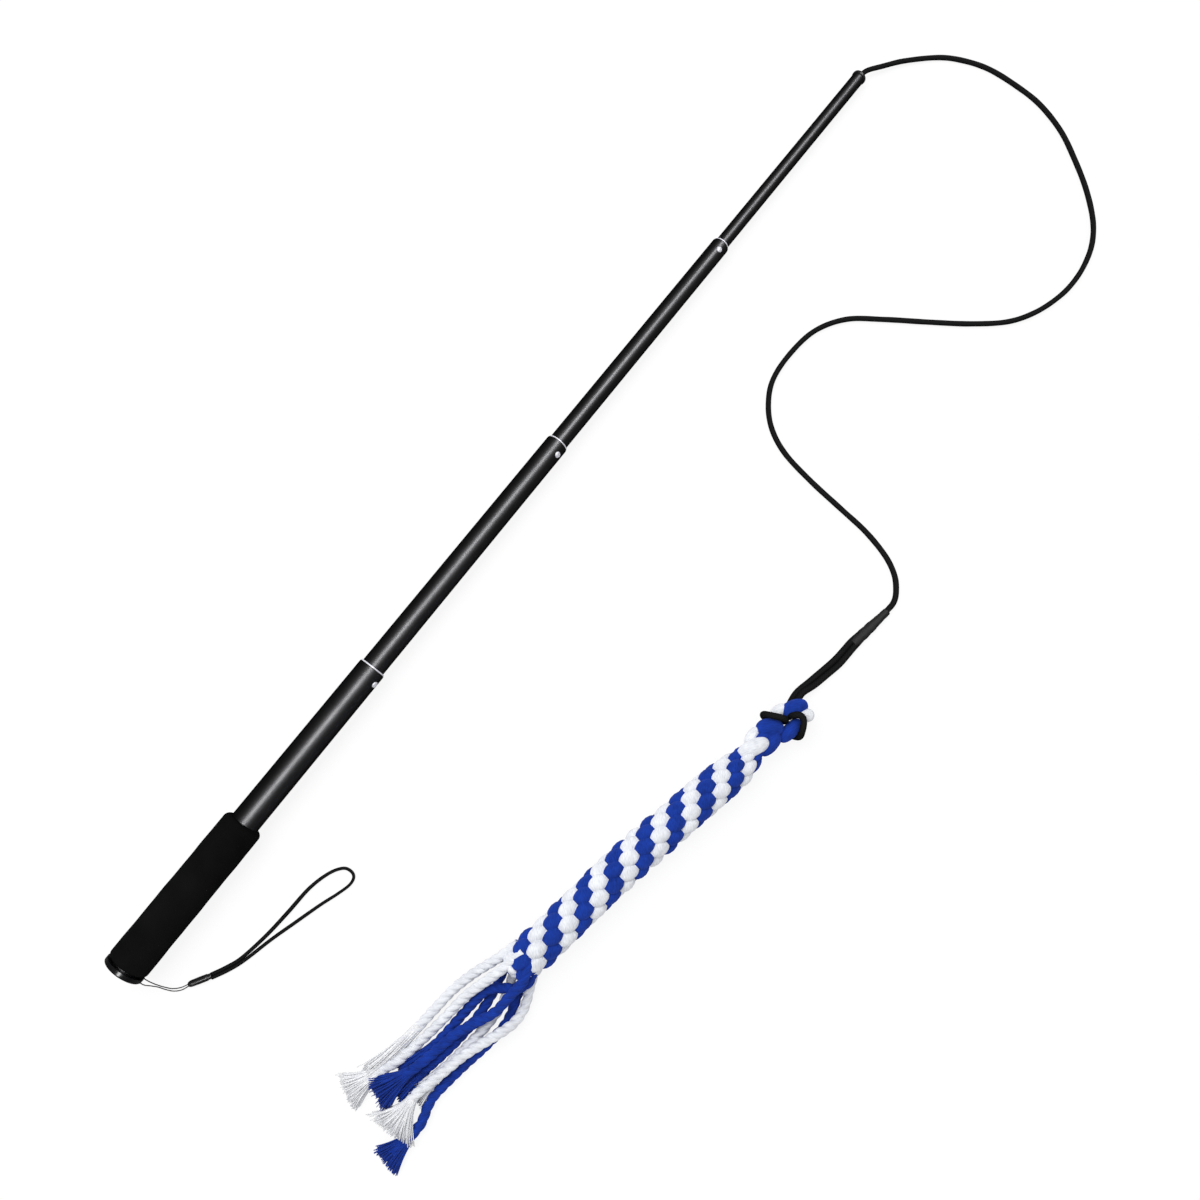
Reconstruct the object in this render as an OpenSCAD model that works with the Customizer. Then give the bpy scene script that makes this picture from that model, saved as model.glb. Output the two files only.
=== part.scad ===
// Telescopic dog flirt pole lying on a floor: four nested tubes with spring
// buttons, a cord tied off in the tip, a braided rope toy and a wrist strap.
// The butt's end face is at the origin and the pole runs along X. It rests on
// the front of its grip and on its tip cap, so its axis dips a little.

/* [Handle] */
// Length from the butt to the handle tube's mouth
handle_length = 267.6; // [240:0.1:320]
// Diameter of the end cap's flange
cap_d = 29.8; // [29.4:0.1:31]
// Thickness of the end cap's flange
cap_t = 3.6; // [3.2:0.1:5]
// Radius of the end cap's outer edge
cap_edge_r = 1.2; // [0.6:0.1:1.4]
// Length of the end cap's plug in the tube
cap_plug_len = 11; // [6:0.5:16]
// Diameter of the foam grip
grip_d = 30.5; // [28:0.5:34]
// Distance from the butt to the grip's front end
grip_front = 124.5; // [100:0.5:150]
// Radius of the grip's rounded front shoulder
grip_edge_r = 4.2; // [1:0.1:4.2]
// Radius of the grip's rounded back shoulder
grip_back_r = 2; // [1:0.1:4]
// Gap between the end cap and the grip, where the tether passes
grip_gap = 1.6; // [1.2:0.1:3]

/* [Sections] */
// Outside diameter of the handle tube
handle_tube_d = 22; // [21.8:0.1:22.5]
// Outside diameter of the second tube
second_tube_d = 19; // [18.8:0.1:19.2]
// Outside diameter of the third tube
third_tube_d = 16; // [15.8:0.1:16.2]
// Outside diameter of the tip tube
tip_tube_d = 12.2; // [12:0.1:12.8]
// Wall of every tube
tube_wall = 0.7; // [0.5:0.05:0.8]
// Length that the second section adds
second_reach = 233.4; // [228:0.1:260]
// Length that the third section adds
third_reach = 238.5; // [228:0.1:260]
// Length that the tip section adds
tip_reach = 231.5; // [228:0.1:260]
// Length of tube left inside the mouth when a section is drawn out
section_overlap = 24; // [23:0.5:30]
// Depth of the rounding on the tubes' lips
lip_depth = 0.5; // [0.2:0.05:0.55]
// Length of the rounding on the tubes' lips
lip_length = 1.4; // [0.6:0.1:2]

/* [Mouth rings and foot bushes] */
// Thickness of the bright ring on each mouth
ring_t = 1; // [0.5:0.1:1.5]
// Step from the tube's surface in to the ring's rim
ring_inset = 0.6; // [0.55:0.05:0.65]
// Length of the ring's spigot inside the mouth
ring_spigot = 3.2; // [2:0.1:3.6]
// Length of the bush around each tube's foot
bush_len = 8; // [5:0.5:8.5]
// Thickness of the bush under the tube's foot
bush_floor = 1.2; // [0.8:0.1:1.5]
// Width of the bush's floor inside the tube's outer surface
bush_rim = 1.4; // [1:0.1:1.8]

/* [Spring buttons] */
// Diameter of the buttons
button_d = 5.2; // [4.8:0.1:5.4]
// Height of a button's dome over the outer tube
button_rise = 1.2; // [0.6:0.1:1.3]
// Diameter of the collar that keeps a button in its tube
collar_d = 6.8; // [6.4:0.1:7.2]
// Thickness of that collar
collar_t = 0.5; // [0.3:0.05:0.6]
// Distance from the handle tube's mouth back to its button
handle_setback = 9.8; // [9:0.1:10.4]
// Distance from the second tube's mouth back to its button
second_setback = 10.4; // [9:0.1:10.6]
// Distance from the third tube's mouth back to its button
third_setback = 9.7; // [9:0.1:10.4]
// Turn of the handle's button from the top of the pole
handle_button_angle = 77; // [0:1:180]
// Turn of the second button from the top of the pole
second_button_angle = 58; // [0:1:180]
// Turn of the third button from the top of the pole
third_button_angle = 28; // [0:1:180]
// Thickness of the spring strip behind a button
spring_t = 0.4; // [0.3:0.05:0.5]
// Width of the spring strip
spring_w = 3.6; // [3:0.1:4]

/* [Tip] */
// Diameter of the tip cap's rim
tip_cap_d = 13.6; // [13.2:0.1:14.5]
// Length of the tip cap's rim
tip_cap_t = 3; // [2.4:0.1:5]
// Radius of the tip cap's edges
tip_cap_edge_r = 1; // [0.4:0.1:1.1]
// Length of the tip cap's plug in the tube
tip_plug_len = 12; // [8:0.5:16]
// Diameter of the cord's stop knot inside the tip
knot_d = 8.8; // [7:0.1:10]

/* [Cord] */
// Diameter of the cord from the tip to the sleeve
cord_d = 4.6; // [4:0.1:4.8]
// Diameter of the cord in the hitched loop
loop_cord_d = 4.3; // [3.6:0.1:4.4]
// Width of the shrunk sleeve
sleeve_w = 8.6; // [8:0.1:9.5]
// Height of the shrunk sleeve
sleeve_h = 5.2; // [4.8:0.1:5.6]

/* [Toy] */
// Place of the toy's eye along the pole
eye_x = 421.4; // [400:0.1:440]
// Place of the toy's eye beside the pole
eye_y = -275.8; // [-320:0.1:-240]
// Width of the eye at the middle of its rope
eye_width = 16; // [15.8:0.1:16.2]
// Length of the eye's straight sides
eye_straight = 9; // [8:0.1:10]
// Diameter of the rope in the eye
eye_rope_d = 9.4; // [8.8:0.1:9.6]
// Length of the toy from its eye to the end of the braid
toy_length = 258.5; // [250:0.5:268]
// Turn of the toy from the pole's direction
toy_angle = 12.49; // [10:0.01:15]
// Sideways bow of the toy
toy_bow = 2; // [0:0.1:4]
// Diameter of the braid
braid_d = 30; // [29:0.1:30]
// Diameter of the loose rope strands
strand_d = 7.2; // [6:0.1:7.4]

/* [Wrist strap] */
// Diameter of the tether thread
tether_d = 0.8; // [0.6:0.05:0.9]
// Diameter of the tether's hole in the end cap
tether_hole_d = 1.6; // [1.4:0.1:1.8]
// Diameter of the circle that the tether's hole lies on
tether_hole_circle_d = 26.4; // [26:0.1:26.6]
// Depth of the notch from the tether's hole to the end cap's rim
notch_depth = 1.5; // [1.3:0.1:2]
// Turn of the tether's hole from the top of the pole
tether_hole_angle = 100; // [95:1:105]
// Diameter of the ferrule
ferrule_d = 4.8; // [4.4:0.1:4.8]
// Diameter of the strap
strap_d = 2.2; // [1.6:0.1:2.3]

/* [Clearances] */
// Gap all round between parts that slide
slide_gap = 0.08; // [0.03:0.01:0.1]
// Gap round a button in the inner tube's hole
button_gap = 0.1; // [0.06:0.01:0.2]
// Gap round a button in the outer tube's hole
catch_gap = 0.3; // [0.2:0.05:0.4]
// Gap between the cord and the tip cap's bore
cord_gap = 0.3; // [0.2:0.05:0.5]
// Gap at seats that just clear
seat_gap = 0.1; // [0.05:0.01:0.2]
// Length by which cuts run past the walls
overrun = 2; // [1:0.5:4]

/* [Hidden] */
facets = 96;
small_facets = 48;
cord_sides = 10;
thread_sides = 8;
braid_sides = 20;
steps = 2;
tubes_d = [handle_tube_d, second_tube_d, third_tube_d, tip_tube_d];
reaches = [second_reach, third_reach, tip_reach];
setbacks = [handle_setback, second_setback, third_setback];
button_angles = [handle_button_angle, second_button_angle, third_button_angle];

// Stations along the pole: tube 0 is the handle's, tube 3 the tip's
tip = len(setbacks);
tip_end = mouth(tip);
function mouth(i) = i == 0 ? handle_length : mouth(i - 1) + reaches[i - 1];
function tube_foot(i) = i == 0 ? cap_t : mouth(i - 1) - section_overlap;
function tube_top(i) = i == tip ? tip_end - tip_cap_t : mouth(i) - ring_t;
function outer_r(i) = tubes_d[i] / 2;
function bore_r(i) = outer_r(i) - tube_wall;
function button_x(i) = mouth(i) - setbacks[i];

// Rest on the floor: the grip's front shoulder and the tip cap's rim both touch
grip_rest_x = grip_front - grip_edge_r;
tip_rest_x = tip_end - tip_cap_t / 2;
pole_tilt = asin((grip_d - tip_cap_d) / 2 / (tip_rest_x - grip_rest_x));
floor_z = -grip_rest_x * sin(pole_tilt) - grip_d / 2 * cos(pole_tilt);

// Rounding of a tube's lip: share of its depth, share of its length
lip_shares = [[0, 1], [0.12, 0.5], [0.4, 0.16], [1, 0]];

// Spring and button heights from the pole's axis
function collar_top(i) = sqrt(pow(bore_r(i), 2) - pow(collar_d / 2, 2)) - seat_gap;
function leg_r(i) = collar_top(i) - collar_t;
function back_r(i) = sqrt(pow(bore_r(i), 2) - pow(spring_w / 2, 2)) - seat_gap;
function bend_r(i) = (leg_r(i) + back_r(i)) / 2;

// Toy: share along its length, share of the bow, share of the braid's radius
braid_shares = [
  [0.039, -0.60, 0.40], [0.046, -0.75, 0.47], [0.056, -0.95, 0.55], [0.070, -1.10, 0.62],
  [0.089, -0.90, 0.66], [0.116, -0.40, 0.66], [0.143, 0.40, 0.74], [0.162, 0.85, 0.83],
  [0.182, 1.00, 0.90], [0.205, 0.90, 0.95], [0.240, 0.75, 0.985], [0.286, 0.50, 1.00],
  [0.350, 0.05, 1.00], [0.513, -0.55, 1.00], [0.620, -0.95, 1.00], [0.690, -0.80, 1.00],
  [0.770, -0.50, 1.00], [0.845, -0.12, 1.00], [0.960, 0.00, 1.00], [0.985, 0.00, 0.95],
  [1.000, 0.00, 0.84]
];
toy_z = floor_z + braid_d / 2;

// Route of the cord from the stop knot to the sleeve
cord_route = [
  [951, 0, -9.5], [962, 0, -9.6], [972, 0, -9.7], [982, -2, -10], [995, -10, -11],
  [1016, -24, -12.8], [1040, -48, -14], [1051, -70, -14.1], [1056, -94, -14.1], [1054, -124, -14.1],
  [1048, -152, -14.1], [1033, -182, -14.1], [1012, -208, -14.1], [989, -232, -14.1], [964, -252, -14.1],
  [942, -263, -14.1], [920, -268, -14.1], [898, -269, -14.1], [876, -266, -14.1], [850, -257, -14.1],
  [827, -242, -14.1], [806, -217, -14.1], [786, -187, -14.1], [765, -154, -14.1], [746, -128, -14.1],
  [720, -112, -14.1], [688, -107, -14.1], [659, -109, -14.1], [637, -119, -14.1], [620, -134, -14.1],
  [608, -155, -14.1], [600, -185, -14.1], [594, -218, -14.1], [589, -245, -14.1], [581, -268, -14.1],
  [572, -282, -14.1], [562, -290, -14.1], [552, -294, -14.1], [540, -293, -14]
];
// Ends of the sleeve's middle line
sleeve_route = [[542, -293.6, -13.8], [504, -286, -13.8]];
// Route of the hitched loop, out of the sleeve, round the toy's neck and back
loop_route = [
  [504.6, -288.4, -14.1], [495, -287.4, -14.1], [483, -286, -14.1], [470, -282.6, -13.9],
  [458, -279.3, -12.4], [448.2, -275.4, -10.6], [443.1, -274.9, -9.8], [435.9, -274.9, -9.2],
  [429.6, -275.7, -8.9], [425.6, -276.2, -7], [423.9, -276.5, -3], [423.8, -276.5, 1.5],
  [425, -277.8, 5], [427.1, -280.7, 6.4], [426.9, -284.2, 6.4], [423.5, -287.1, 5.8],
  [419, -289.3, 3.6], [415.9, -290.6, -1.4], [414.9, -288.7, -7], [414.1, -283.4, -10.4],
  [413.3, -277.1, -11.2], [413.5, -271, -11.2], [413.6, -264.9, -9.8], [413.3, -260.7, -5.2],
  [413.3, -259.5, -0.5], [413.7, -261.4, 4.2], [415.4, -265.9, 6.4], [417.4, -270.8, 6.4],
  [418.7, -274.2, 4.6], [419.1, -275.3, 1], [419.2, -275.3, -4], [420.3, -275.1, -9],
  [424.9, -273.9, -12.8], [431.4, -272.5, -13.7], [437.7, -271.6, -13.9], [443.8, -271.4, -14],
  [449.5, -272.2, -14.1], [459, -274.9, -14.1], [471, -278, -14.1], [484, -281.2, -14.1],
  [496, -282.8, -14.1], [505.4, -284, -14.1]
];
// Routes of the loose strands out of the end of the braid, sideways from that end and up from the axis
braid_end = [eye_x - toy_length * cos(toy_angle), eye_y + toy_length * sin(toy_angle), 0];
blue_routes = [
  [[8, 9.9, -5.4], [-4, 8.9, -9], [-17, 6.7, -12.2], [-31, 4.3, -12.8], [-47, 3.3, -12.8],
   [-63, 4.7, -12.8], [-77, 7, -12.8], [-97, 11.6, -12.8], [-112, 14.9, -12.8]],
  [[3, -9.1, 2.5], [-7, -11.5, 0.5], [-15, -8.1, -2.4], [-20, -2.1, -4.6], [-25, 4.9, -4.8],
   [-31, 9.3, -5.8], [-41, 11.3, -8.6], [-54, 12.9, -12], [-67, 14.1, -12.8], [-81, 16.3, -12.8],
   [-97, 20.3, -12.8]],
  [[5, -3.4, 8.4], [-6, -7.7, 8.3], [-14, -7.5, 5.6], [-24, -6.1, 2.8], [-36, -4.6, -0.5],
   [-49, 1.4, -4], [-62, 7.9, -5.6], [-74, 11.3, -6.2], [-89, 15.3, -5.4], [-103, 19.7, -5.6],
   [-115, 23.9, -10]],
  [[4.5, -3.6, -11.2], [-17, -9.5, -12.8], [-38, -15.1, -12.8], [-57, -13.1, -12.8], [-76, -8.7, -12.8],
   [-92, -5.5, -12.8], [-105, -3.5, -12.8], [-114, -4.7, -12.8], [-123, -7.1, -12.8], [-135, -6.1, -12.8],
   [-148, -4.1, -12.8]]
];
white_routes = [
  [[8, 9.9, 2.5], [-7, 14.9, 1.5], [-25, 22.4, -4], [-43, 27.9, -9], [-61, 30.5, -12],
   [-77, 32.5, -12.8], [-93, 34.9, -12.8]],
  [[7, 3.9, 8.2], [-11, 8.4, 6], [-26, 13.5, 2], [-41, 18.3, -4.2], [-58, 20.9, -9.6],
   [-74, 23.5, -12.4], [-90, 26.9, -12.2], [-103, 30.5, -10.2], [-117, 37.3, -11.4], [-129, 41.9, -12.8]],
  [[3, -9.1, -5.4], [-12, -14.9, -7.9], [-23, -19.1, -9.6], [-33, -19.7, -7.5], [-42, -17.1, -5.6],
   [-56, -10.7, -5.2], [-70, -4.7, -5.4], [-83, -0.7, -5.4], [-96, 2.9, -5.6], [-107, 6.3, -5.2],
   [-118, 7.5, -7.6], [-128, 5.9, -11]],
  [[7.5, 4.4, -11.2], [-5, 1.9, -12.8], [-17, -1.5, -12.8], [-31, -5.3, -12.8], [-47, -5.3, -12.8],
   [-63, -3.3, -12.8], [-77, -0.7, -12.8], [-93, 2.7, -12.8], [-105, 4.9, -12.8]]
];
// Route of the tether thread, from the ferrule through the end cap's hole and back
tether_route = [
  [17.2, -39.4, -14], [11.4, -36.2, -14.3], [7.4, -32, -13.6], [5.4, -27, -11.2], [4.6, -22.4, -7.6],
  [4.4, -18.4, -4.4], [4.4, -15.6, -2.9], [4.3, -13.6, -2.4], [3.6, -13, -2.3], [2.4, -13, -2.3],
  [1.2, -13.1, -2.3], [0.8, -13.9, -2.4], [0.8, -15.6, -2.8], [1, -17.6, -4.2], [2, -20.2, -6.8],
  [3.4, -24.2, -10], [4.4, -29, -13], [6.4, -33.6, -14.6], [10.4, -37.6, -14.9], [16.8, -40.4, -14.2]
];
// Ends of the ferrule's middle line
ferrule_route = [[15.6, -39, -14], [30, -48.4, -14]];
// Route of the strap's loop, out of the ferrule and back
strap_route = [
  [29.6, -46.9, -15.2], [40, -52.6, -15.3], [51, -57.1, -15.3], [72, -61, -15.3], [93, -63, -15.3],
  [115, -64.5, -15.3], [131, -69, -15.3], [140, -75, -15.3], [142, -81, -15.3], [140, -85.5, -15.3],
  [134, -86.5, -15.3], [124, -83.5, -15.3], [111, -78.5, -15.3], [90, -71.5, -15.3], [72, -65.6, -15.3],
  [51, -59.8, -15.3], [39.2, -55, -15.3], [28.4, -49, -15.2]
];

// A smooth curve through the points of a route, in equal steps from point to point
function curve_at(a, b, c, d, t) =
  (2 * b + (c - a) * t + (2 * a - 5 * b + 4 * c - d) * t * t + (3 * b - a - 3 * c + d) * t * t * t) / 2;
function smooth(p) = [
  for (i = [0:len(p) - 2]) for (j = [0:steps - 1])
    curve_at(p[max(i - 1, 0)], p[i], p[i + 1], p[min(i + 2, len(p) - 1)], j / steps),
  p[len(p) - 1]
];

// Directions along a path, and a side direction carried along it without twisting
function unit(v) = v / norm(v);
function heading(p, i) = unit(p[min(i + 1, len(p) - 1)] - p[max(i - 1, 0)]);
function squared(v, t) = unit(v - (v * t) * t);
function carried(p, i, side) = i == len(p) ? [] :
  let (s = squared(side, heading(p, i))) concat([s], carried(p, i + 1, s));

// A closed tube along a path, with one radius for each of its points
module swept(p, radii, sides) {
  across = carried(p, 0, [0, 0, 1]);
  last = (len(p) - 1) * sides;
  polyhedron(
    points = [
      for (i = [0:len(p) - 1]) for (k = [0:sides - 1])
        p[i] + radii[i] * (cos(360 * k / sides) * across[i]
          + sin(360 * k / sides) * cross(heading(p, i), across[i]))
    ],
    faces = [
      for (i = [0:len(p) - 2]) for (k = [0:sides - 1])
        let (a = i * sides + k, b = i * sides + (k + 1) % sides)
          each [[a, a + sides, b + sides], [a, b + sides, b]],
      for (k = [1:sides - 2]) [0, k, k + 1],
      for (k = [1:sides - 2]) [last, last + k + 1, last + k]
    ]
  );
}

module cord(route, d, sides) {
  p = smooth(route);
  swept(p, [for (q = p) d / 2], sides);
}

// Places on the pole: along its dipping axis, and turned out from its top
module on_pole() rotate([0, pole_tilt, 0]) children();
module turned() on_pole() rotate([0, 90, 0]) rotate_extrude($fn = facets) children();
module radial(x, angle) on_pole() translate([x, 0, 0]) rotate([angle, 0, 0]) children();

// Half section of a round band, with its outer corners rounded at the start and the end
module band(r0, r1, x0, x1, start_edge, end_edge) intersection() {
  translate([r0, x0]) square([r1 - r0, x1 - x0]);
  union() {
    translate([r0, x0]) square([r1 - max(start_edge, end_edge) - r0, x1 - x0]);
    translate([r0, x0 + start_edge]) square([r1 - r0, x1 - x0 - start_edge - end_edge]);
    if (start_edge > 0) translate([r1 - start_edge, x0 + start_edge])
      circle(start_edge, $fn = small_facets);
    if (end_edge > 0) translate([r1 - end_edge, x1 - end_edge])
      circle(end_edge, $fn = small_facets);
  }
}

module end_cap() color("dimgray") difference() {
  turned() {
    band(0, cap_d / 2, 0, cap_t, cap_edge_r, 0);
    square([bore_r(0), cap_t + cap_plug_len]);
  }
  radial(0, tether_hole_angle) translate([-overrun, 0, tether_hole_circle_d / 2])
    rotate([0, 90, 0]) cylinder(h = cap_t + 2 * overrun, d = tether_hole_d, $fn = small_facets);
  radial(0, tether_hole_angle) translate([-overrun, -tether_hole_d / 2, tether_hole_circle_d / 2])
    cube([overrun + notch_depth, tether_hole_d, cap_d / 2]);
}

module foam_grip() color("#121212") turned()
  band(outer_r(0), grip_d / 2, cap_t + grip_gap, grip_front, grip_back_r, grip_edge_r);

// One tube of the pole, with a button hole near its mouth and one near its foot
module pole_tube(i) difference() {
  turned() polygon([
    [bore_r(i), tube_foot(i)], [outer_r(i), tube_foot(i)],
    for (s = lip_shares) [outer_r(i) - lip_depth * s[0], tube_top(i) - lip_length * s[1]],
    [bore_r(i), tube_top(i)]
  ]);
  if (i < tip) radial(button_x(i), button_angles[i])
    cylinder(h = outer_r(i) + overrun, r = button_d / 2 + catch_gap, $fn = small_facets);
  if (i > 0) radial(button_x(i - 1), button_angles[i - 1])
    cylinder(h = outer_r(i) + overrun, r = button_d / 2 + button_gap, $fn = small_facets);
}

module handle_tube() color("#1a1a1c") pole_tube(0);
module second_tube() color("#1a1a1c") pole_tube(1);
module third_tube() color("#1a1a1c") pole_tube(2);
module tip_tube() color("#1a1a1c") pole_tube(tip);

// Bright ring on a mouth, whose spigot guides the next tube
module mouth_ring(i) color("silver") turned() {
  guide_r = outer_r(i + 1) + slide_gap;
  translate([guide_r, mouth(i) - ring_t]) square([outer_r(i) - ring_inset - guide_r, ring_t]);
  translate([guide_r, mouth(i) - ring_t - ring_spigot]) square([bore_r(i) - guide_r, ring_t + ring_spigot]);
}

module handle_mouth_ring() mouth_ring(0);
module second_mouth_ring() mouth_ring(1);
module third_mouth_ring() mouth_ring(2);

// Plastic bush on a tube's foot, which slides in the next larger tube
module foot_bush(i) color("whitesmoke") turned() {
  bush_r = bore_r(i - 1) - slide_gap;
  rim_r = outer_r(i) - bush_rim;
  translate([outer_r(i), tube_foot(i) - bush_floor]) square([bush_r - outer_r(i), bush_floor + bush_len]);
  translate([rim_r, tube_foot(i) - bush_floor]) square([bush_r - rim_r, bush_floor]);
}

module second_foot_bush() foot_bush(1);
module third_foot_bush() foot_bush(2);
module tip_foot_bush() foot_bush(tip);

// Bent strip inside tube i: one leg carries the button, the other lies on the far wall
module lock_spring(i) color("lightsteelblue") {
  leg_end = collar_d / 2;
  bend_x = section_overlap - setbacks[i - 1] - bend_r(i) - bush_floor;
  middle = leg_r(i) - bend_r(i);
  radial(button_x(i - 1), button_angles[i - 1]) rotate([90, 0, 0])
    translate([0, 0, -spring_w / 2]) linear_extrude(spring_w) {
      translate([-bend_x, leg_r(i) - spring_t]) square([bend_x + leg_end, spring_t]);
      translate([-bend_x, -back_r(i)]) square([bend_x + leg_end, spring_t]);
      translate([-bend_x, middle]) difference() {
        circle(bend_r(i), $fn = facets);
        circle(bend_r(i) - spring_t, $fn = facets);
        translate([0, -bend_r(i) - overrun]) square([bend_r(i) + overrun, 2 * (bend_r(i) + overrun)]);
      }
    }
}

module second_lock_spring() lock_spring(1);
module third_lock_spring() lock_spring(2);
module tip_lock_spring() lock_spring(tip);

// Domed button on the spring of tube i, standing out through the tube outside it
module lock_button(i) color("silver") {
  dome_r = outer_r(i - 1) + button_rise - button_d / 2;
  radial(button_x(i - 1), button_angles[i - 1]) rotate_extrude($fn = small_facets) {
    translate([0, leg_r(i)]) square([collar_d / 2, collar_t]);
    translate([0, leg_r(i)]) square([button_d / 2, dome_r - leg_r(i)]);
    translate([0, dome_r]) intersection() {
      circle(d = button_d, $fn = small_facets);
      square(button_d / 2);
    }
  }
}

module second_lock_button() lock_button(1);
module third_lock_button() lock_button(2);
module tip_lock_button() lock_button(tip);

module tip_cap() color("#161616") turned() difference() {
  union() {
    band(0, tip_cap_d / 2, tube_top(tip), tip_end, tip_cap_edge_r, tip_cap_edge_r);
    translate([0, tube_top(tip) - tip_plug_len]) square([bore_r(tip), tip_plug_len + tip_cap_t / 2]);
  }
  translate([0, tube_top(tip) - tip_plug_len - overrun])
    square([cord_d / 2 + cord_gap, tip_plug_len + tip_cap_t + 2 * overrun]);
}

module cord_knot() color("#181818") {
  knot_x = tube_top(tip) - tip_plug_len - knot_d / 2 - seat_gap;
  on_pole() translate([knot_x, 0, 0]) sphere(d = knot_d, $fn = small_facets);
}

module lure_cord() color("#181818") cord(cord_route, cord_d, cord_sides);

// Flat-sided sleeve of shrunk tube over the doubled cord
module cord_sleeve() color("#303030") {
  along = sleeve_route[1] - sleeve_route[0];
  translate(sleeve_route[0]) rotate([0, 0, atan2(along.y, along.x)]) rotate([90, 0, 90])
    linear_extrude(norm(along)) {
      square([sleeve_w - sleeve_h, sleeve_h], center = true);
      for (side = [-1, 1]) translate([side * (sleeve_w - sleeve_h) / 2, 0])
        circle(d = sleeve_h, $fn = small_facets);
    }
}

module cord_loop() color("#181818") cord(loop_route, loop_cord_d, cord_sides);

// Long eye: two half rings joined by straight sides
module toy_eye() color("royalblue") translate([eye_x, eye_y, toy_z]) rotate([0, 0, -toy_angle])
  for (side = [-1, 1]) {
    translate([side * eye_straight / 2, 0, 0]) rotate([0, 0, -90 * side])
      rotate_extrude(angle = 180, $fn = facets) translate([eye_width / 2, 0])
        circle(d = eye_rope_d, $fn = small_facets);
    translate([-eye_straight / 2, side * eye_width / 2, 0]) rotate([0, 90, 0])
      cylinder(h = eye_straight, d = eye_rope_d, $fn = small_facets);
  }

module toy_braid() color("cornflowerblue") {
  p = smooth([
    for (s = braid_shares) [
      eye_x - toy_length * s[0] * cos(toy_angle) - toy_bow * s[1] * sin(toy_angle),
      eye_y + toy_length * s[0] * sin(toy_angle) - toy_bow * s[1] * cos(toy_angle),
      toy_z
    ]
  ]);
  r = smooth([for (s = braid_shares) [s[2], 0, 0]]);
  swept(p, [for (q = r) q.x * braid_d / 2], braid_sides);
}

module strand(route) translate(braid_end) cord(route, strand_d, cord_sides);
module blue_strand(i) color("mediumblue") strand(blue_routes[i - 1]);
module white_strand(i) color("ghostwhite") strand(white_routes[i - 1]);

module strap_tether() color("#141414") cord(tether_route, tether_d, thread_sides);

module strap_ferrule() color("#101010") {
  along = ferrule_route[1] - ferrule_route[0];
  translate(ferrule_route[0]) rotate([0, 90, atan2(along.y, along.x)])
    cylinder(h = norm(along), d = ferrule_d, $fn = small_facets);
}

module strap_loop() color("#141414") cord(strap_route, strap_d, thread_sides);

end_cap();
foam_grip();
handle_tube();
second_tube();
third_tube();
tip_tube();
handle_mouth_ring();
second_mouth_ring();
third_mouth_ring();
second_foot_bush();
third_foot_bush();
tip_foot_bush();
second_lock_spring();
third_lock_spring();
tip_lock_spring();
second_lock_button();
third_lock_button();
tip_lock_button();
tip_cap();
cord_knot();
lure_cord();
cord_sleeve();
cord_loop();
toy_eye();
toy_braid();
blue_strand(1);  // blue_strand_1
blue_strand(2);  // blue_strand_2
blue_strand(3);  // blue_strand_3
blue_strand(4);  // blue_strand_4
white_strand(1);  // white_strand_1
white_strand(2);  // white_strand_2
white_strand(3);  // white_strand_3
white_strand(4);  // white_strand_4
strap_tether();
strap_ferrule();
strap_loop();
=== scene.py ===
"""Looks of a dog flirt pole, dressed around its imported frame.

Lengths are metres in the frame of the CAD model: the butt of the pole is at the
origin, the pole runs along +X and falls a little, and all of it lies on the floor.
Routes and sizes that are written in millimetres pass through MM.
"""
import logging
import math
from collections.abc import Sequence
from dataclasses import dataclass, replace
from enum import Enum

import bmesh
import bpy
import numpy as np
from mathutils import Matrix, Vector


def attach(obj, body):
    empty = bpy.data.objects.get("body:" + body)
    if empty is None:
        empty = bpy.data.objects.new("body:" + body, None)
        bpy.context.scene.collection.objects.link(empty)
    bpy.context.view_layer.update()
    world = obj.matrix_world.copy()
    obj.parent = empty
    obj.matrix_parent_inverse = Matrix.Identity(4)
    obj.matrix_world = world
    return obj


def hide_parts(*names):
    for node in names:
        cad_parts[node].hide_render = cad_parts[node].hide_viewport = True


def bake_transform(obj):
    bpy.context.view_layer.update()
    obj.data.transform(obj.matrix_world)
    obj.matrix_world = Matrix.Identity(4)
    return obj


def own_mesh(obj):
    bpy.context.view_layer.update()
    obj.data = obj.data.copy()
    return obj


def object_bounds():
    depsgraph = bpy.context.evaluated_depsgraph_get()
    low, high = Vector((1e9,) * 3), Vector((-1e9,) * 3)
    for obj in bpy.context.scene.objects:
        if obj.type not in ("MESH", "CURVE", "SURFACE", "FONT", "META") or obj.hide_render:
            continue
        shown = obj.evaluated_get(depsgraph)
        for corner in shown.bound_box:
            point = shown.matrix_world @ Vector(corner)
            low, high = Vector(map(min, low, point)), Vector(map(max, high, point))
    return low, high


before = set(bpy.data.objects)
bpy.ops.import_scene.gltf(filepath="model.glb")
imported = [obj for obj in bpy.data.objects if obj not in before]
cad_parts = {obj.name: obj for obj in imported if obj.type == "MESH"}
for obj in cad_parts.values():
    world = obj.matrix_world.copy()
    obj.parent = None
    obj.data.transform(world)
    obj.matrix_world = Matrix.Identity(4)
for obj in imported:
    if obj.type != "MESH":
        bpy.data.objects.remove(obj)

CAD_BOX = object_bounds()
FLOOR = CAD_BOX[0].z
LOG = logging.getLogger("flirt_pole")
Array = np.ndarray
Point = tuple[float, float, float]
Color = tuple[float, float, float]
Profile = tuple[tuple[float, float], ...]
Waves = tuple[tuple[float, float, float], ...]
Socket = bpy.types.NodeSocket

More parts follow.
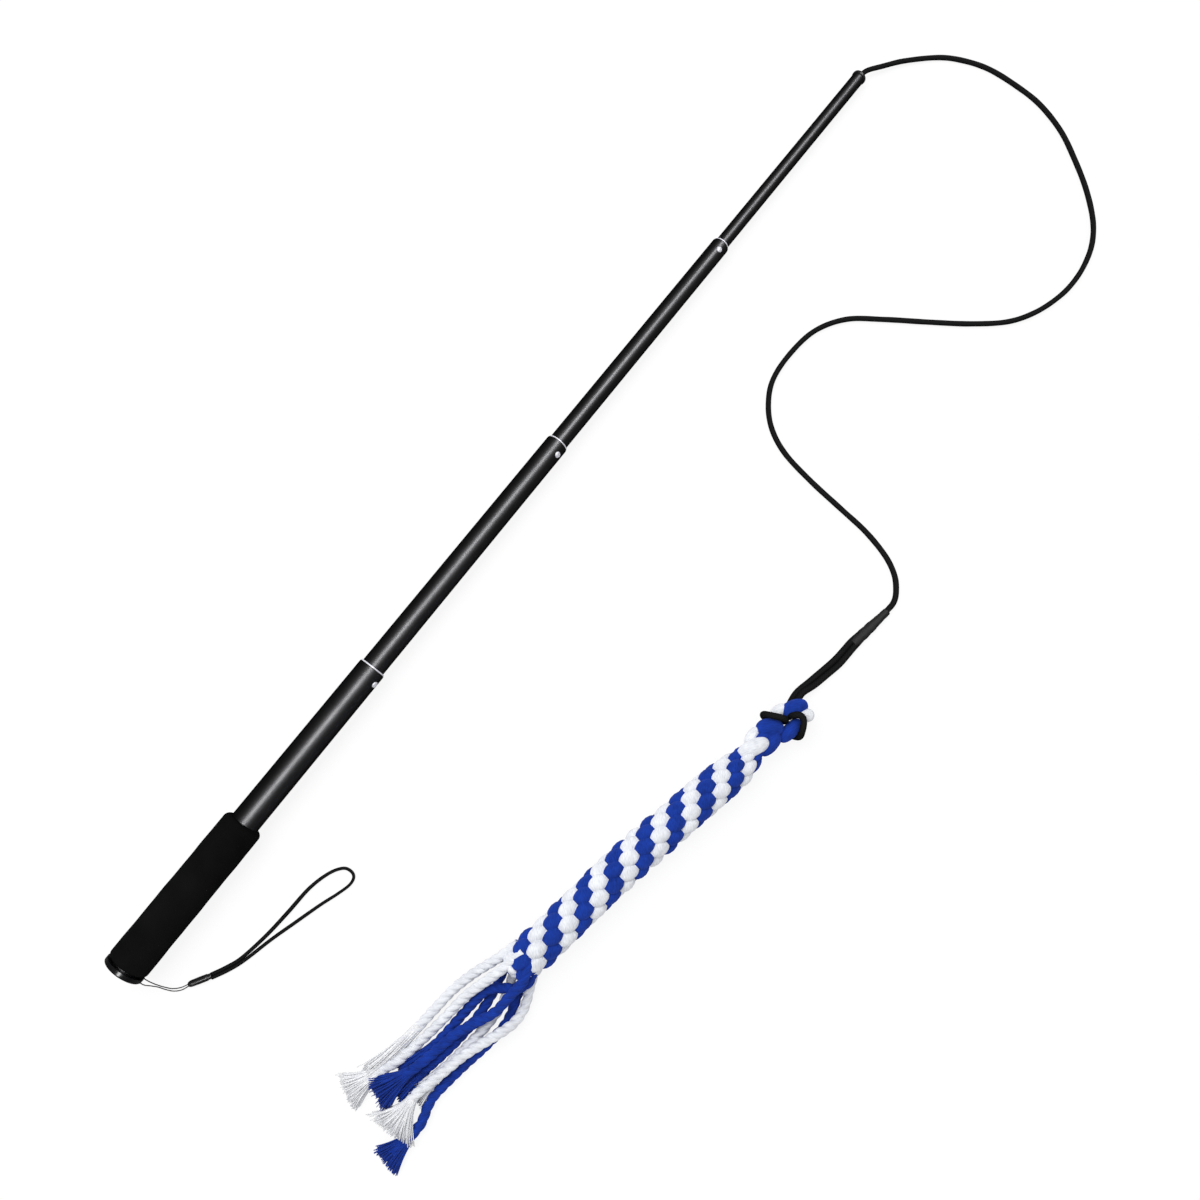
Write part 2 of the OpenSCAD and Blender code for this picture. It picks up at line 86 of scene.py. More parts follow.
MM = 0.001
FULL_TURN = 2 * math.pi
QUARTER_TURN = math.pi / 2
UP = np.array([0.0, 0.0, 1.0])
SQUARE = np.array([[-1, -1], [1, -1], [1, 1], [-1, 1]])
WHITE = (1.0, 1.0, 1.0, 1.0)
CURVE_STEPS = 24
LEAST_POINTS = 3
MERGE_REACH = 1e-7
POLE_TILT = math.radians(0.5701)
POLE_AXIS = np.array([math.cos(POLE_TILT), 0.0, -math.sin(POLE_TILT)])
POLE_TOP = np.array([math.sin(POLE_TILT), 0.0, math.cos(POLE_TILT)])
POLE_SIDE = np.array([0.0, 1.0, 0.0])
STRAND_WIDTH = 7.2 * MM


# Shapes: arrays of points, and the faces that join them.


def unit(vectors: Array) -> Array:
    """Vectors of length one along the last axis."""
    return vectors / np.linalg.norm(vectors, axis=-1, keepdims=True)


def smooth_route(points: Sequence[Point] | Array, steps: int) -> Array:
    """A Catmull-Rom curve: each stretch is the cubic set by its two ends and their neighbours.

    Args:
        points: places that the curve passes, in millimetres.
        steps: how many points stand for one stretch.

    Returns:
        Points of the curve, in metres.
    """
    places = np.asarray(points, float) * MM
    start, stop = places[:-1, None], places[1:, None]
    before = np.vstack([places[:1], places[:-2]])[:, None]
    after = np.vstack([places[2:], places[-1:]])[:, None]
    t = (np.arange(steps) / steps)[None, :, None]
    curve = 0.5 * (
        2 * start
        + (stop - before) * t
        + (2 * before - 5 * start + 4 * stop - after) * t**2
        + (3 * start - before - 3 * stop + after) * t**3
    )
    return np.vstack([curve.reshape(-1, 3), places[-1]])


def lengths_along(path: Array) -> Array:
    """Distance of each point from the path's start."""
    return np.concatenate([[0.0], np.linalg.norm(np.diff(path, axis=0), axis=1).cumsum()])


def at_lengths(path: Array, lengths: Array) -> Array:
    """Points at given distances along a path, straight between its own points."""
    own = lengths_along(path)
    return np.stack([np.interp(lengths, own, path[:, axis]) for axis in range(3)], axis=-1)


def even_route(points: Sequence[Point] | Array, step: float) -> Array:
    """A smooth route with its points an even step apart.

    Args:
        points: places that the route passes, in millimetres.
        step: distance between points, in metres.

    Returns:
        Points of the route, in metres.
    """
    fine = smooth_route(points, CURVE_STEPS)
    total = lengths_along(fine)[-1]
    return at_lengths(fine, np.linspace(0, total, max(LEAST_POINTS, round(total / step) + 1)))


def profile_at(shares: Array, profile: Profile) -> Array:
    """Sizes at shares of a length, straight between the places of a profile.

    Args:
        shares: shares of the length.
        profile: share and size of each place, the size in millimetres.

    Returns:
        A size for each share, in metres.
    """
    places, sizes = np.transpose(profile)
    return np.interp(shares, places, sizes * MM)


def waves_along(along: Array, waves: Waves) -> Array:
    """Sum of size * sin(rate * along + start) over the waves."""
    return sum(size * np.sin(along * rate + start) for size, rate, start in waves)


def ring_angles(sides: int) -> Array:
    """Angles of the points on a ring."""
    return np.arange(sides) * FULL_TURN / sides


def fixed_frames(path: Array, along: Array, beside: Array, above: Array) -> tuple[Array, Array, Array]:
    """The same directions along, beside and above at each point of a path."""
    return tuple(np.broadcast_to(way, path.shape) for way in (along, beside, above))


def carried_frames(path: Array) -> tuple[Array, Array, Array]:
    """Directions along, beside and above a path, carried from ring to ring without a spin.

    Args:
        path: points of the path.

    Returns:
        Unit directions along, beside and above, one of each for a point.
    """
    along = unit(np.gradient(path, axis=0))
    beside = np.empty_like(along)
    beside[0] = unit(np.cross(UP, along[0]))
    for ring in range(1, len(path)):
        carried = beside[ring - 1]
        beside[ring] = unit(carried - along[ring] * (carried @ along[ring]))
    return along, beside, np.cross(along, beside)


def ring_faces(rings: int, sides: int, closed: bool = False) -> Array:
    """Quads that join each ring to the next, facing away from the path.

    Args:
        rings: count of rings.
        sides: points on each ring.
        closed: whether the last ring joins the first.

    Returns:
        Point numbers, four for each face.
    """
    ring, side = np.meshgrid(
        np.arange(rings if closed else rings - 1), np.arange(sides), indexing="ij"
    )
    here, there, after = ring * sides, (ring + 1) % rings * sides, (side + 1) % sides
    return np.stack([here + side, here + after, there + after, there + side], -1).reshape(-1, 4)


def end_faces(rings: int, sides: int) -> Array:
    """Flat faces over the first and the last ring, facing away from the path."""
    return np.stack([np.arange(sides)[::-1], np.arange(sides) + (rings - 1) * sides])


def ring_places(along: Array, sides: int, around: float) -> Array:
    """Texture places for ring_faces: u is the distance along and v the share of the way round.

    Args:
        along: distance of each ring, with one more than the rings for a closed path.
        sides: points on each ring.
        around: value of v after one turn.

    Returns:
        Places, four for each face.
    """
    ring, side = np.meshgrid(np.arange(len(along) - 1), np.arange(sides), indexing="ij")
    v = around / sides
    low, high = along[ring], along[ring + 1]
    corners = [(low, side * v), (low, (side + 1) * v), (high, (side + 1) * v), (high, side * v)]
    return np.stack([np.stack(corner, -1) for corner in corners], -2).reshape(-1, 4, 2)


@dataclass
class Shell:
    """A surface in the making.

    Attributes:
        points: its points.
        faces: arrays of point numbers, each with one count of corners.
        places: texture places that match the faces.
        finish: number of each face's finish.
    """

    points: Array
    faces: list[Array]
    places: list[Array]
    finish: list[Array]

    def add(self, other: "Shell") -> None:
        """Takes in another shell's faces.

        Args:
            other: the other shell.
        """
        first = len(self.points)
        self.points = np.vstack([self.points, other.points])
        self.faces += [faces + first for faces in other.faces]
        self.places += other.places
        self.finish += other.finish

    def piece(self, name: str, finishes: Sequence["Finish"], merge: bool = False) -> bpy.types.Object:
        """Makes the object.

        Args:
            name: its name.
            finishes: what the finish numbers stand for.
            merge: whether points at one place become one point.

        Returns:
            The new object, at the origin.
        """
        mesh = bpy.data.meshes.new(name)
        faces = [face for group in self.faces for face in group.tolist()]
        mesh.from_pydata(self.points.tolist(), [], faces)
        lay = mesh.uv_layers.new(name="lay")
        lay.data.foreach_set("uv", np.concatenate([group.ravel() for group in self.places]))
        mesh.polygons.foreach_set("material_index", np.concatenate(self.finish).astype(np.int32))
        mesh.polygons.foreach_set("use_smooth", np.ones(len(mesh.polygons), bool))
        for finish in finishes:
            mesh.materials.append(finish.material())
        if merge:
            work = bmesh.new()
            work.from_mesh(mesh)
            bmesh.ops.remove_doubles(work, verts=work.verts, dist=MERGE_REACH)
            work.to_mesh(mesh)
            work.free()
        mesh.update()
        piece = bpy.data.objects.new(name, mesh)
        bpy.context.scene.collection.objects.link(piece)
        LOG.info("%s: %d points, %d faces", name, len(mesh.vertices), len(mesh.polygons))
        return piece


def swept(
    path: Array,
    outline: Array,
    around: float = 1.0,
    frames: tuple[Array, Array, Array] | None = None,
    closed: bool = False,
) -> Shell:
    """A skin over rings that stand square on a path: point = path + x * beside + y * above.

    Args:
        path: centre of each ring.
        outline: x and y of each ring's points.
        around: texture width of one turn.
        frames: directions along, beside and above, or none to carry them along the path.
        closed: whether the path comes back to its start.

    Returns:
        The skin, with flat ends where the path is open.
    """
    _, beside, above = frames or carried_frames(path)
    rings, sides = outline.shape[:2]
    grid = path[:, None] + outline[..., :1] * beside[:, None] + outline[..., 1:] * above[:, None]
    along = lengths_along(np.vstack([path, path[:1]]) if closed else path)
    faces = ring_faces(rings, sides, closed)
    shell = Shell(
        grid.reshape(-1, 3), [faces], [ring_places(along, sides, around)], [np.zeros(len(faces))]
    )
    if not closed:
        ends = end_faces(rings, sides)
        shell.faces.append(ends)
        shell.places.append(np.zeros((len(ends), sides, 2)))
        shell.finish.append(np.zeros(len(ends)))
    return shell


def round_outline(radius: Array, sides: int) -> Array:
    """Rings of round section: x = r cos(a), y = r sin(a)."""
    angle = ring_angles(sides)
    return np.multiply.outer(radius, np.stack([np.cos(angle), np.sin(angle)], -1))


def twisted_outline(
    along: Array, plies: int, ply: float, offset: float, lay: float, sides: int, phase: float = 0.0
) -> Array:
    """Rings of a rope of round plies that turn round each other along it.

    The distance out is that of the nearest ply's own circle: c cos(b) + sqrt(a^2 - c^2 sin^2(b)),
    with b the angle from that ply's middle, a its radius and c its offset from the rope's middle.

    Args:
        along: distance of each ring.
        plies: count of plies.
        ply: radius of a ply.
        offset: distance of a ply's middle from the rope's middle.
        lay: length of one turn.
        sides: points on each ring.
        phase: turn of the first ring, in radians.

    Returns:
        x and y of each ring's points.
    """
    own = ring_angles(sides)
    part = FULL_TURN / plies
    bend = np.mod(own + part / 2, part) - part / 2
    out = offset * np.cos(bend) + np.sqrt(ply**2 - (offset * np.sin(bend)) ** 2)
    angle = own[None] + (phase + along * FULL_TURN / lay)[:, None]
    return out[None, :, None] * np.stack([np.cos(angle), np.sin(angle)], -1)


# Finishes: procedural node materials.


class Places(Enum):
    """What a texture's places follow: the object, or the lay of its surface."""

    OBJECT = "Object"
    LAY = "UV"


@dataclass(frozen=True)
class Noise:
    """Grey noise over a surface.

    Attributes:
        scale: how fine it is.
        detail: how much finer noise lies in it.
        stretch: its fineness on each axis, on top of the scale.
        places: what it follows.
    """

    scale: float = 1.0
    detail: float = 2.0
    stretch: Point = (1.0, 1.0, 1.0)
    places: Places = Places.OBJECT


class Shading:
    """The node tree of a material or a sky, with short calls to add and join nodes."""

    def __init__(self, owner: bpy.types.ID, shader: str = "Principled BSDF") -> None:
        """Takes up the nodes of a material or a sky.

        Args:
            owner: the material or sky.
            shader: name of the shader that it starts with.
        """
        owner.use_nodes = True
        self.tree = owner.node_tree
        self.surface = self.tree.nodes[shader]

    def feed(self, node: bpy.types.Node, values: dict) -> None:
        """Joins or sets a node's sockets.

        Args:
            node: the node.
            values: a socket or a plain value for each input's name or number.
        """
        for key, value in values.items():
            if isinstance(value, bpy.types.NodeSocket):
                self.tree.links.new(value, node.inputs[key])
            else:
                node.inputs[key].default_value = value

    def add(self, kind: str, values: dict | None = None, **settings: object) -> bpy.types.Node:
        """Adds a node.

        Args:
            kind: type of node, without its prefix.
            values: what its inputs take.
            **settings: its own properties.

        Returns:
            The node.
        """
        node = self.tree.nodes.new("ShaderNode" + kind)
        for key, value in settings.items():
            setattr(node, key, value)
        self.feed(node, values or {})
        return node

    def math(self, operation: str, first: object, second: object = 0.0) -> Socket:
        """Result of a sum on one or two values."""
        return self.add("Math", {0: first, 1: second}, operation=operation).outputs[0]

    def plus(self, first: Socket, second: Socket, share: float) -> Socket:
        """The first value plus a share of the second."""
        return self.math("ADD", first, self.math("MULTIPLY", second, share))

    def mix(self, factor: Socket, first: object, second: object) -> Socket:
        """A value that goes from the first to the second with a factor."""
        return self.add("Mix", {"Factor": factor, "A": first, "B": second}).outputs["Result"]

    def noise(self, noise: Noise) -> Socket:
        """Grey noise, from 0 to 1.

        Args:
            noise: how it lies.

        Returns:
            Its value.
        """
        source = self.add("TexCoord").outputs[noise.places.value]
        place = self.add("Mapping", {"Vector": source, "Scale": noise.stretch}).outputs[0]
        values = {"Vector": place, "Scale": noise.scale, "Detail": noise.detail}
        return self.add("TexNoise", values).outputs[0]

    def cells(self, scale: float) -> Socket:
        """Distance from the nearest of many points that are scattered over the object."""
        place = self.add("TexCoord").outputs[Places.OBJECT.value]
        return self.add("TexVoronoi", {"Vector": place, "Scale": scale}).outputs["Distance"]

    def ramp(self, factor: Socket, low: Color, high: Color, span: tuple[float, float]) -> Socket:
        """Colours from low to high over a span of the factor.

        Args:
            factor: a value from 0 to 1.
            low: the colour at the span's start.
            high: the colour at its end.
            span: the span.

        Returns:
            The colour.
        """
        node = self.add("ValToRGB", {"Fac": factor})
        for stop, place, color in zip(node.color_ramp.elements, span, (low, high)):
            stop.position, stop.color = place, (*color, 1.0)
        return node.outputs[0]

    def range(self, factor: Socket, low: float, high: float) -> Socket:
        """A factor of 0 to 1 spread from low to high."""
        return self.add("MapRange", {"Value": factor, "To Min": low, "To Max": high}).outputs[0]

    def bump(self, height: Socket, strength: float, distance: float) -> None:
        """Lets a height tilt the surface."""
        node = self.add("Bump", {"Height": height, "Strength": strength, "Distance": distance})
        self.feed(self.surface, {"Normal": node.outputs[0]})


@dataclass(frozen=True)
class Finish:
    """A surface finish, made once as a node material.

    Each kind of finish has its own values for these: TONES are its darkest and lightest share of the
    colour, and TONE_SPAN is the span of noise between them. The roughness goes from one end to the other
    of its mean times ROUGH_SHARES plus ROUGH_STEPS. BUMP is the strength and depth of its relief, and
    SHINE is how strongly it mirrors.

    Attributes:
        name: name of the material.
        color: its main colour.
        roughness: its mean roughness.
    """

    name: str
    color: Color
    roughness: float

    TONE_SPAN = (0.3, 0.7)
    ROUGH_SHARES = (1.0, 1.0)
    ROUGH_STEPS = (0.0, 0.0)

    def material(self) -> bpy.types.Material:
        """The material, made when it is first asked for.

        Returns:
            The material.
        """
        made = bpy.data.materials.get(self.name)
        if made is None:
            made = bpy.data.materials.new(self.name)
            self.dress(Shading(made))
        return made

    def tone(self, nodes: Shading, factor: Socket, shares: tuple[float, float]) -> Socket:
        """The main colour times a share that goes from the first to the second with a factor."""
        low, high = (tuple(min(1.0, part * share) for part in self.color) for share in shares)
        return nodes.ramp(factor, low, high, self.TONE_SPAN)

    def rough(self, nodes: Shading, factor: Socket) -> Socket:
        """The roughness, from its lowest to its highest with a factor."""
        ends = zip(self.ROUGH_SHARES, self.ROUGH_STEPS)
        return nodes.range(factor, *(self.roughness * share + step for share, step in ends))

    def dress(self, nodes: Shading) -> None:
        """Adds the nodes; each kind of finish has its own."""
        raise NotImplementedError


@dataclass(frozen=True)
class Lacquer(Finish):
    """Black lacquer on drawn tube: smooth, dark towards its edges, a little uneven in its gloss.

    Attributes:
        edge: how much of its shine is left where it turns away from the eye.
    """

    edge: float = 0.1

    STREAKS = Noise(detail=3.0, stretch=(9.0, 90.0, 90.0))
    PATCHES = Noise(stretch=(60.0, 60.0, 60.0))
    TONES = (0.9, 1.1)
    TONE_SPAN = (0.3, 0.8)
    ROUGH_SHARES = (0.9, 1.12)

    def dress(self, nodes: Shading) -> None:
        """Puts faint streaks along the tube into the gloss and slight patches into the tone.

        Args:
            nodes: the material's nodes.
        """
        nodes.feed(nodes.surface, {
            "Base Color": self.tone(nodes, nodes.noise(self.PATCHES), self.TONES),
            "Metallic": 1.0,
            "Specular Tint": (self.edge, self.edge, self.edge, 1.0),
            "Roughness": self.rough(nodes, nodes.noise(self.STREAKS)),
        })


@dataclass(frozen=True)
class Foam(Finish):
    """Closed-cell foam rubber: fine pores and a dry, dusty surface."""

    PORE_SCALE = 1500.0
    PORE_SHARE = 0.7
    GRAIN = Noise(900.0, 4.0)
    BLOOM = Noise(45.0, 3.0)
    TONES = (0.75, 1.5)
    TONE_SPAN = (0.3, 0.75)
    ROUGH_STEPS = (-0.08, 0.05)
    SHINE = 0.03
    BUMP = (0.35, 0.5 * MM)

    def dress(self, nodes: Shading) -> None:
        """Makes pores from cells, with a fine grain on them, and a soft grey bloom.

        Args:
            nodes: the material's nodes.
        """
        grain = nodes.noise(self.GRAIN)
        nodes.feed(nodes.surface, {
            "Base Color": self.tone(nodes, nodes.noise(self.BLOOM), self.TONES),
            "Roughness": self.rough(nodes, grain),
            "Specular IOR Level": self.SHINE,
        })
        nodes.bump(nodes.plus(grain, nodes.cells(self.PORE_SCALE), self.PORE_SHARE), *self.BUMP)


@dataclass(frozen=True)
class WovenCord(Finish):
    """A braided cord: two sets of yarns that cross over each other at a slant.

    Attributes:
        pitch: distance along between yarns.
        yarns: yarns round the cord in each direction.
    """

    pitch: float = 2.2 * MM
    yarns: int = 6

    FUZZ = Noise(2600.0, 3.0)
    FUZZ_SHARE = 0.5
    TONES = (0.45, 1.5)
    TONE_SPAN = (0.5, 1.0)
    ROUGH_STEPS = (-0.12, 0.1)
    SHINE = 0.04
    BUMP = (0.6, 0.3 * MM)

    def dress(self, nodes: Shading) -> None:
        """Makes the weave from two slanted waves; the higher one lies on top. The same height sets the
        colour: painted shade in the gaps between the yarns and lighter yarn tops.

        Args:
            nodes: the material's nodes.
        """
        split = nodes.add("SeparateXYZ", {0: nodes.add("TexCoord").outputs[Places.LAY.value]}).outputs
        along = nodes.math("MULTIPLY", split[0], math.pi / self.pitch)
        around = nodes.math("MULTIPLY", split[1], math.pi * self.yarns)
        left, right = (
            nodes.math("ABSOLUTE", nodes.math("SINE", nodes.math(slant, along, around)))
            for slant in ("ADD", "SUBTRACT")
        )
        fuzz = nodes.noise(self.FUZZ)
        height = nodes.plus(nodes.math("MAXIMUM", left, right), fuzz, self.FUZZ_SHARE)
        nodes.feed(nodes.surface, {
            # Painted shade: darker where the weave's height is low, lighter on the yarn tops.
            "Base Color": self.tone(nodes, height, self.TONES),
            "Roughness": self.rough(nodes, fuzz),
            "Specular IOR Level": self.SHINE,
        })
        nodes.bump(height, *self.BUMP)


@dataclass(frozen=True)
class CottonYarn(Finish):
    """Soft spun cotton: fibres along the yarn, slight fading, painted shade between the fibres and a fuzzy
    sheen.

    Attributes:
        sheen: weight of the fuzz.
        dark: share of the colour that is left between the fibres, as painted shade where the fibre relief is
            low.
    """

    sheen: float = 0.08
    dark: float = 0.72

    FIBRES = Noise(detail=4.0, stretch=(260.0, 1900.0, 1.0), places=Places.LAY)
    FIBRE_SHARE = 0.65
    FADING = Noise(120.0)
    FADING_SHARE = 0.35
    FUZZ = Noise(1700.0, 3.0)
    FUZZ_SHARE = 0.5
    LIGHT = 1.18
    ROUGH_STEPS = (-0.1, 0.08)
    SHINE = 0.04
    SHEEN_ROUGHNESS = 0.6
    BUMP = (0.45, 0.4 * MM)

    def dress(self, nodes: Shading) -> None:
        """Makes fibres from noise drawn out along the yarn, and fading from broad noise. The fibre noise
        that raises the relief also sets the tone, so the colour is partly random fading and partly painted
        shade between the fibres with lighter fibre tops.

        Args:
            nodes: the material's nodes.
        """
        fibres, fuzz = nodes.noise(self.FIBRES), nodes.noise(self.FUZZ)
        shown = nodes.math("MULTIPLY", fibres, self.FIBRE_SHARE)
        factor = nodes.plus(shown, nodes.noise(self.FADING), self.FADING_SHARE)
        nodes.feed(nodes.surface, {
            # Painted shade: the colour falls to the dark share where the fibre relief is low and rises to
            # LIGHT on its tops; the fading part is a real random tone.
            "Base Color": self.tone(nodes, factor, (self.dark, self.LIGHT)),
            "Roughness": self.rough(nodes, fuzz),
            "Specular IOR Level": self.SHINE,
            "Sheen Weight": self.sheen,
            "Sheen Roughness": self.SHEEN_ROUGHNESS,
        })
        nodes.bump(nodes.plus(fibres, fuzz, self.FUZZ_SHARE), *self.BUMP)


@dataclass(frozen=True)
class BrightMetal(Finish):
    """Plated or satin metal with fine turned lines and a little haze.

    Attributes:
        metallic: share of it that shines as bare metal; the rest is a pale satin.
    """

    metallic: float = 1.0

    LINES = Noise(stretch=(5200.0, 300.0, 300.0))
    HAZE = Noise(240.0, 3.0)
    TONES = (0.92, 1.06)
    ROUGH_SHARES = (0.8, 1.25)
    BUMP = (0.08, 0.1 * MM)

    def dress(self, nodes: Shading) -> None:
        """Puts fine lines across the pole's length into roughness and surface.

        Args:
            nodes: the material's nodes.
        """
        lines = nodes.noise(self.LINES)
        nodes.feed(nodes.surface, {
            "Base Color": self.tone(nodes, nodes.noise(self.HAZE), self.TONES),
            "Metallic": self.metallic,
            "Roughness": self.rough(nodes, lines),
        })
        nodes.bump(lines, *self.BUMP)


@dataclass(frozen=True)
class MouldedPlastic(Finish):
    """Moulded plastic with a fine mould grain and slight scuffs.

    Attributes:
        gloss: how strongly it mirrors.
    """

    gloss: float = 0.4

    GRAIN = Noise(1500.0, 3.0)
    SCUFFS = Noise(detail=4.0, stretch=(120.0, 420.0, 260.0))
    TONES = (0.85, 1.3)
    TONE_SPAN = (0.4, 0.8)
    ROUGH_SHARES = (0.8, 1.25)
    BUMP = (0.12, 0.2 * MM)

    def dress(self, nodes: Shading) -> None:
        """Makes the grain from fine noise and the scuffs from drawn-out noise.

        Args:
            nodes: the material's nodes.
        """
        scuffs = nodes.noise(self.SCUFFS)
        nodes.feed(nodes.surface, {
            "Base Color": self.tone(nodes, scuffs, self.TONES),
            "Roughness": self.rough(nodes, scuffs),
            "Specular IOR Level": self.gloss,
        })
        nodes.bump(nodes.noise(self.GRAIN), *self.BUMP)


@dataclass(frozen=True)
class Paper(Finish):
    """White floor paper that keeps the shadow, glows white to the eye and is dark in shiny surfaces.

    Attributes:
        glow: light that the camera sees in the paper itself.
        share: share of the paper that takes light and shadow.
    """

    glow: float = 0.88
    share: float = 0.14

    GRAIN = Noise(400.0)
    TONES = (0.86, 0.9)
    SHINE = 0.0

    def dress(self, nodes: Shading) -> None:
        """Mixes the lit paper with a glow that only the camera sees.

        Args:
            nodes: the material's nodes.
        """
        nodes.feed(nodes.surface, {
            "Base Color": self.tone(nodes, nodes.noise(self.GRAIN), self.TONES),
            "Roughness": self.roughness,
            "Specular IOR Level": self.SHINE,
        })
        rays = nodes.add("LightPath").outputs
        rest = 1 - self.share
        seen = nodes.math("MAXIMUM", rays["Is Camera Ray"], rays["Is Glossy Ray"])
        strength = nodes.math("MULTIPLY", rays["Is Camera Ray"], self.glow / rest)
        glow = nodes.add("Emission", {"Strength": strength}).outputs[0]
        share = nodes.math("MULTIPLY", seen, rest)
        mix = nodes.add("MixShader", {0: share, 1: nodes.surface.outputs[0], 2: glow})
        nodes.feed(nodes.tree.nodes["Material Output"], {"Surface": mix.outputs[0]})


FLOOR_PAPER = Paper("floor_paper", (1.0, 1.0, 1.0), 0.95)
BLUE_COTTON = CottonYarn("blue_cotton", (0.009, 0.045, 0.36), 0.86, 0.035, 0.45)
WHITE_COTTON = CottonYarn("white_cotton", (0.80, 0.82, 0.90), 0.88)
# A lighter copy of the white cotton: painted light that makes up for the shade among the frayed fibres.
LIGHTENED_WHITE_FIBRES = CottonYarn("white_fibres_painted_light", (0.91, 0.93, 1.0), 0.9, 0.0)
CORD_WEAVE = WovenCord("cord_weave", (0.005, 0.005, 0.0055), 0.75)
STRAP_WEAVE = WovenCord("strap_weave", (0.004, 0.004, 0.0043), 0.65, 1.2 * MM, 4)
THREAD_WEAVE = WovenCord("thread_weave", (0.006, 0.006, 0.0065), 0.6, 0.9 * MM, 3)
SLEEVE_FILM = MouldedPlastic("sleeve_film", (0.019, 0.019, 0.02), 0.5, 0.06)
FERRULE_PLASTIC = MouldedPlastic("ferrule_plastic", (0.010, 0.010, 0.010), 0.3)
GRIP_FOAM = Foam("grip_foam", (0.003, 0.003, 0.0032), 0.92)
TUBE_LACQUER = Lacquer("tube_lacquer", (0.05, 0.05, 0.052), 0.4)
CAP_PLASTIC = MouldedPlastic("cap_plastic_finish", (0.006, 0.006, 0.007), 0.2)
TIP_PLASTIC = MouldedPlastic("tip_plastic_finish", (0.008, 0.008, 0.009), 0.4)
BUSH_PLASTIC = MouldedPlastic("bush_plastic_finish", (0.30, 0.30, 0.29), 0.45)
RING_METAL = BrightMetal("ring_metal", (0.70, 0.70, 0.76), 0.5, 0.1)
BUTTON_METAL = BrightMetal("button_metal", (0.64, 0.64, 0.70), 0.5, 0.15)
SPRING_METAL = BrightMetal("spring_metal", (0.40, 0.40, 0.41), 0.35)


class Yarn(Enum):
    """The two colours of the rope, numbered as finishes."""

    BLUE = 0
    WHITE = 1

    def finish(self) -> Finish:
        """The cotton of that colour."""
        return (BLUE_COTTON, WHITE_COTTON)[self.value]

    def fibres(self) -> Finish:
        """The cotton of a frayed end: the same blue, and for white a lighter copy whose extra lightness is
        painted light against the shade among the fibres.
        """
        return (BLUE_COTTON, LIGHTENED_WHITE_FIBRES)[self.value]


# Sub-assemblies.


def placed(name: str, data: bpy.types.ID, place: Point, ways: Sequence[Vector]) -> bpy.types.Object:
    """Puts a camera or lamp into the scene.

    Args:
        name: its name.
        data: the camera or lamp.
        place: where it stands.
        ways: directions of its own x, y and z.

    Returns:
        The object.
    """
    item = bpy.data.objects.new(name, data)
    item.matrix_world = Matrix.Translation(place) @ Matrix(ways).transposed().to_4x4()
    bpy.context.scene.collection.objects.link(item)
    return item


@dataclass(frozen=True)
class Lamp:
    """A long lamp that hangs along the pole and faces it.

    Attributes:
        name: its name.
        place: its middle.
        size: its length and width.
        power: its power, in watts.
    """

    name: str
    place: Point
    size: tuple[float, float]
    power: float

    def hang(self) -> bpy.types.Object:
        """Hangs the lamp.

        Returns:
            The lamp.
        """
        data = bpy.data.lights.new(self.name, "AREA")
        data.shape, data.energy = "RECTANGLE", self.power
        data.size, data.size_y = self.size
        along, away = Vector((1.0, 0.0, 0.0)), Vector((0.0, *self.place[1:])).normalized()
        return placed(self.name, data, self.place, (along, away.cross(along), away))


@dataclass(frozen=True)
class Studio:
    """Camera, floor and light.

    Attributes:
        eye: where the camera stands.
        heading: direction that it faces on the floor, in degrees from +X.
        fall: how far down it looks, in degrees.
        lens: focal length, in millimetres.
        sensor: width of the picture behind the lens, in millimetres.
        clip: nearest and furthest distance that it sees.
        floor_half: half the floor's width.
        key: broad lamp that shiny surfaces don't show.
        strip: lamp that only shiny surfaces show.
        sky: brightness of the light from all round.
        sky_shine: brightness of the sky in shiny surfaces.
        sky_seen: brightness of the sky to the camera.
    """

    eye: Point = (0.25987, -0.22038, 0.67166)
    heading: float = 36.357
    fall: float = 74.265
    lens: float = 27.0
    sensor: float = 36.0
    clip: tuple[float, float] = (0.01, 50.0)
    floor_half: float = 4.0
    key: Lamp = Lamp("key_lamp", (0.3, 0.8, 2.0), (2.0, 1.5), 34.0)
    strip: Lamp = Lamp("shine_strip", (0.9, -0.42, 1.9), (4.6, 0.5), 150.0)
    sky: float = 0.62
    sky_shine: float = 0.05
    sky_seen: float = 1.0

    def camera(self) -> None:
        """Places the camera by its heading and fall."""
        heading, fall = math.radians(self.heading), math.radians(self.fall)
        level = Vector((math.cos(heading), math.sin(heading), 0.0))
        ahead = level * math.cos(fall) - Vector(UP) * math.sin(fall)
        right = Vector((math.sin(heading), -math.cos(heading), 0.0))
        data = bpy.data.cameras.new("camera")
        data.lens, data.sensor_width = self.lens, self.sensor
        data.clip_start, data.clip_end = self.clip
        bpy.context.scene.camera = placed("camera", data, self.eye, (right, right.cross(ahead), -ahead))

    def floor(self, height: float) -> None:
        """Lays the floor.

        Args:
            height: its level.
        """
        mesh = bpy.data.meshes.new("floor")
        corners = [(x, y, height) for x, y in (SQUARE * self.floor_half).tolist()]
        mesh.from_pydata(corners, [], [range(len(corners))])
        mesh.materials.append(FLOOR_PAPER.material())
        floor = bpy.data.objects.new("floor", mesh)
        bpy.context.scene.collection.objects.link(floor)

    def lights(self) -> None:
        """Hangs the two lamps and an even sky."""
        self.key.hang().visible_glossy = False
        self.strip.hang().visible_diffuse = False
        world = bpy.data.worlds.new("sky")
        nodes = Shading(world, "Background")
        rays = nodes.add("LightPath").outputs
        unseen = nodes.mix(rays["Is Glossy Ray"], self.sky, self.sky_shine)
        strength = nodes.mix(rays["Is Camera Ray"], unseen, self.sky_seen)
        nodes.feed(nodes.surface, {"Color": WHITE, "Strength": strength})
        bpy.context.scene.world = world
        bpy.context.scene.view_settings.view_transform = "Standard"


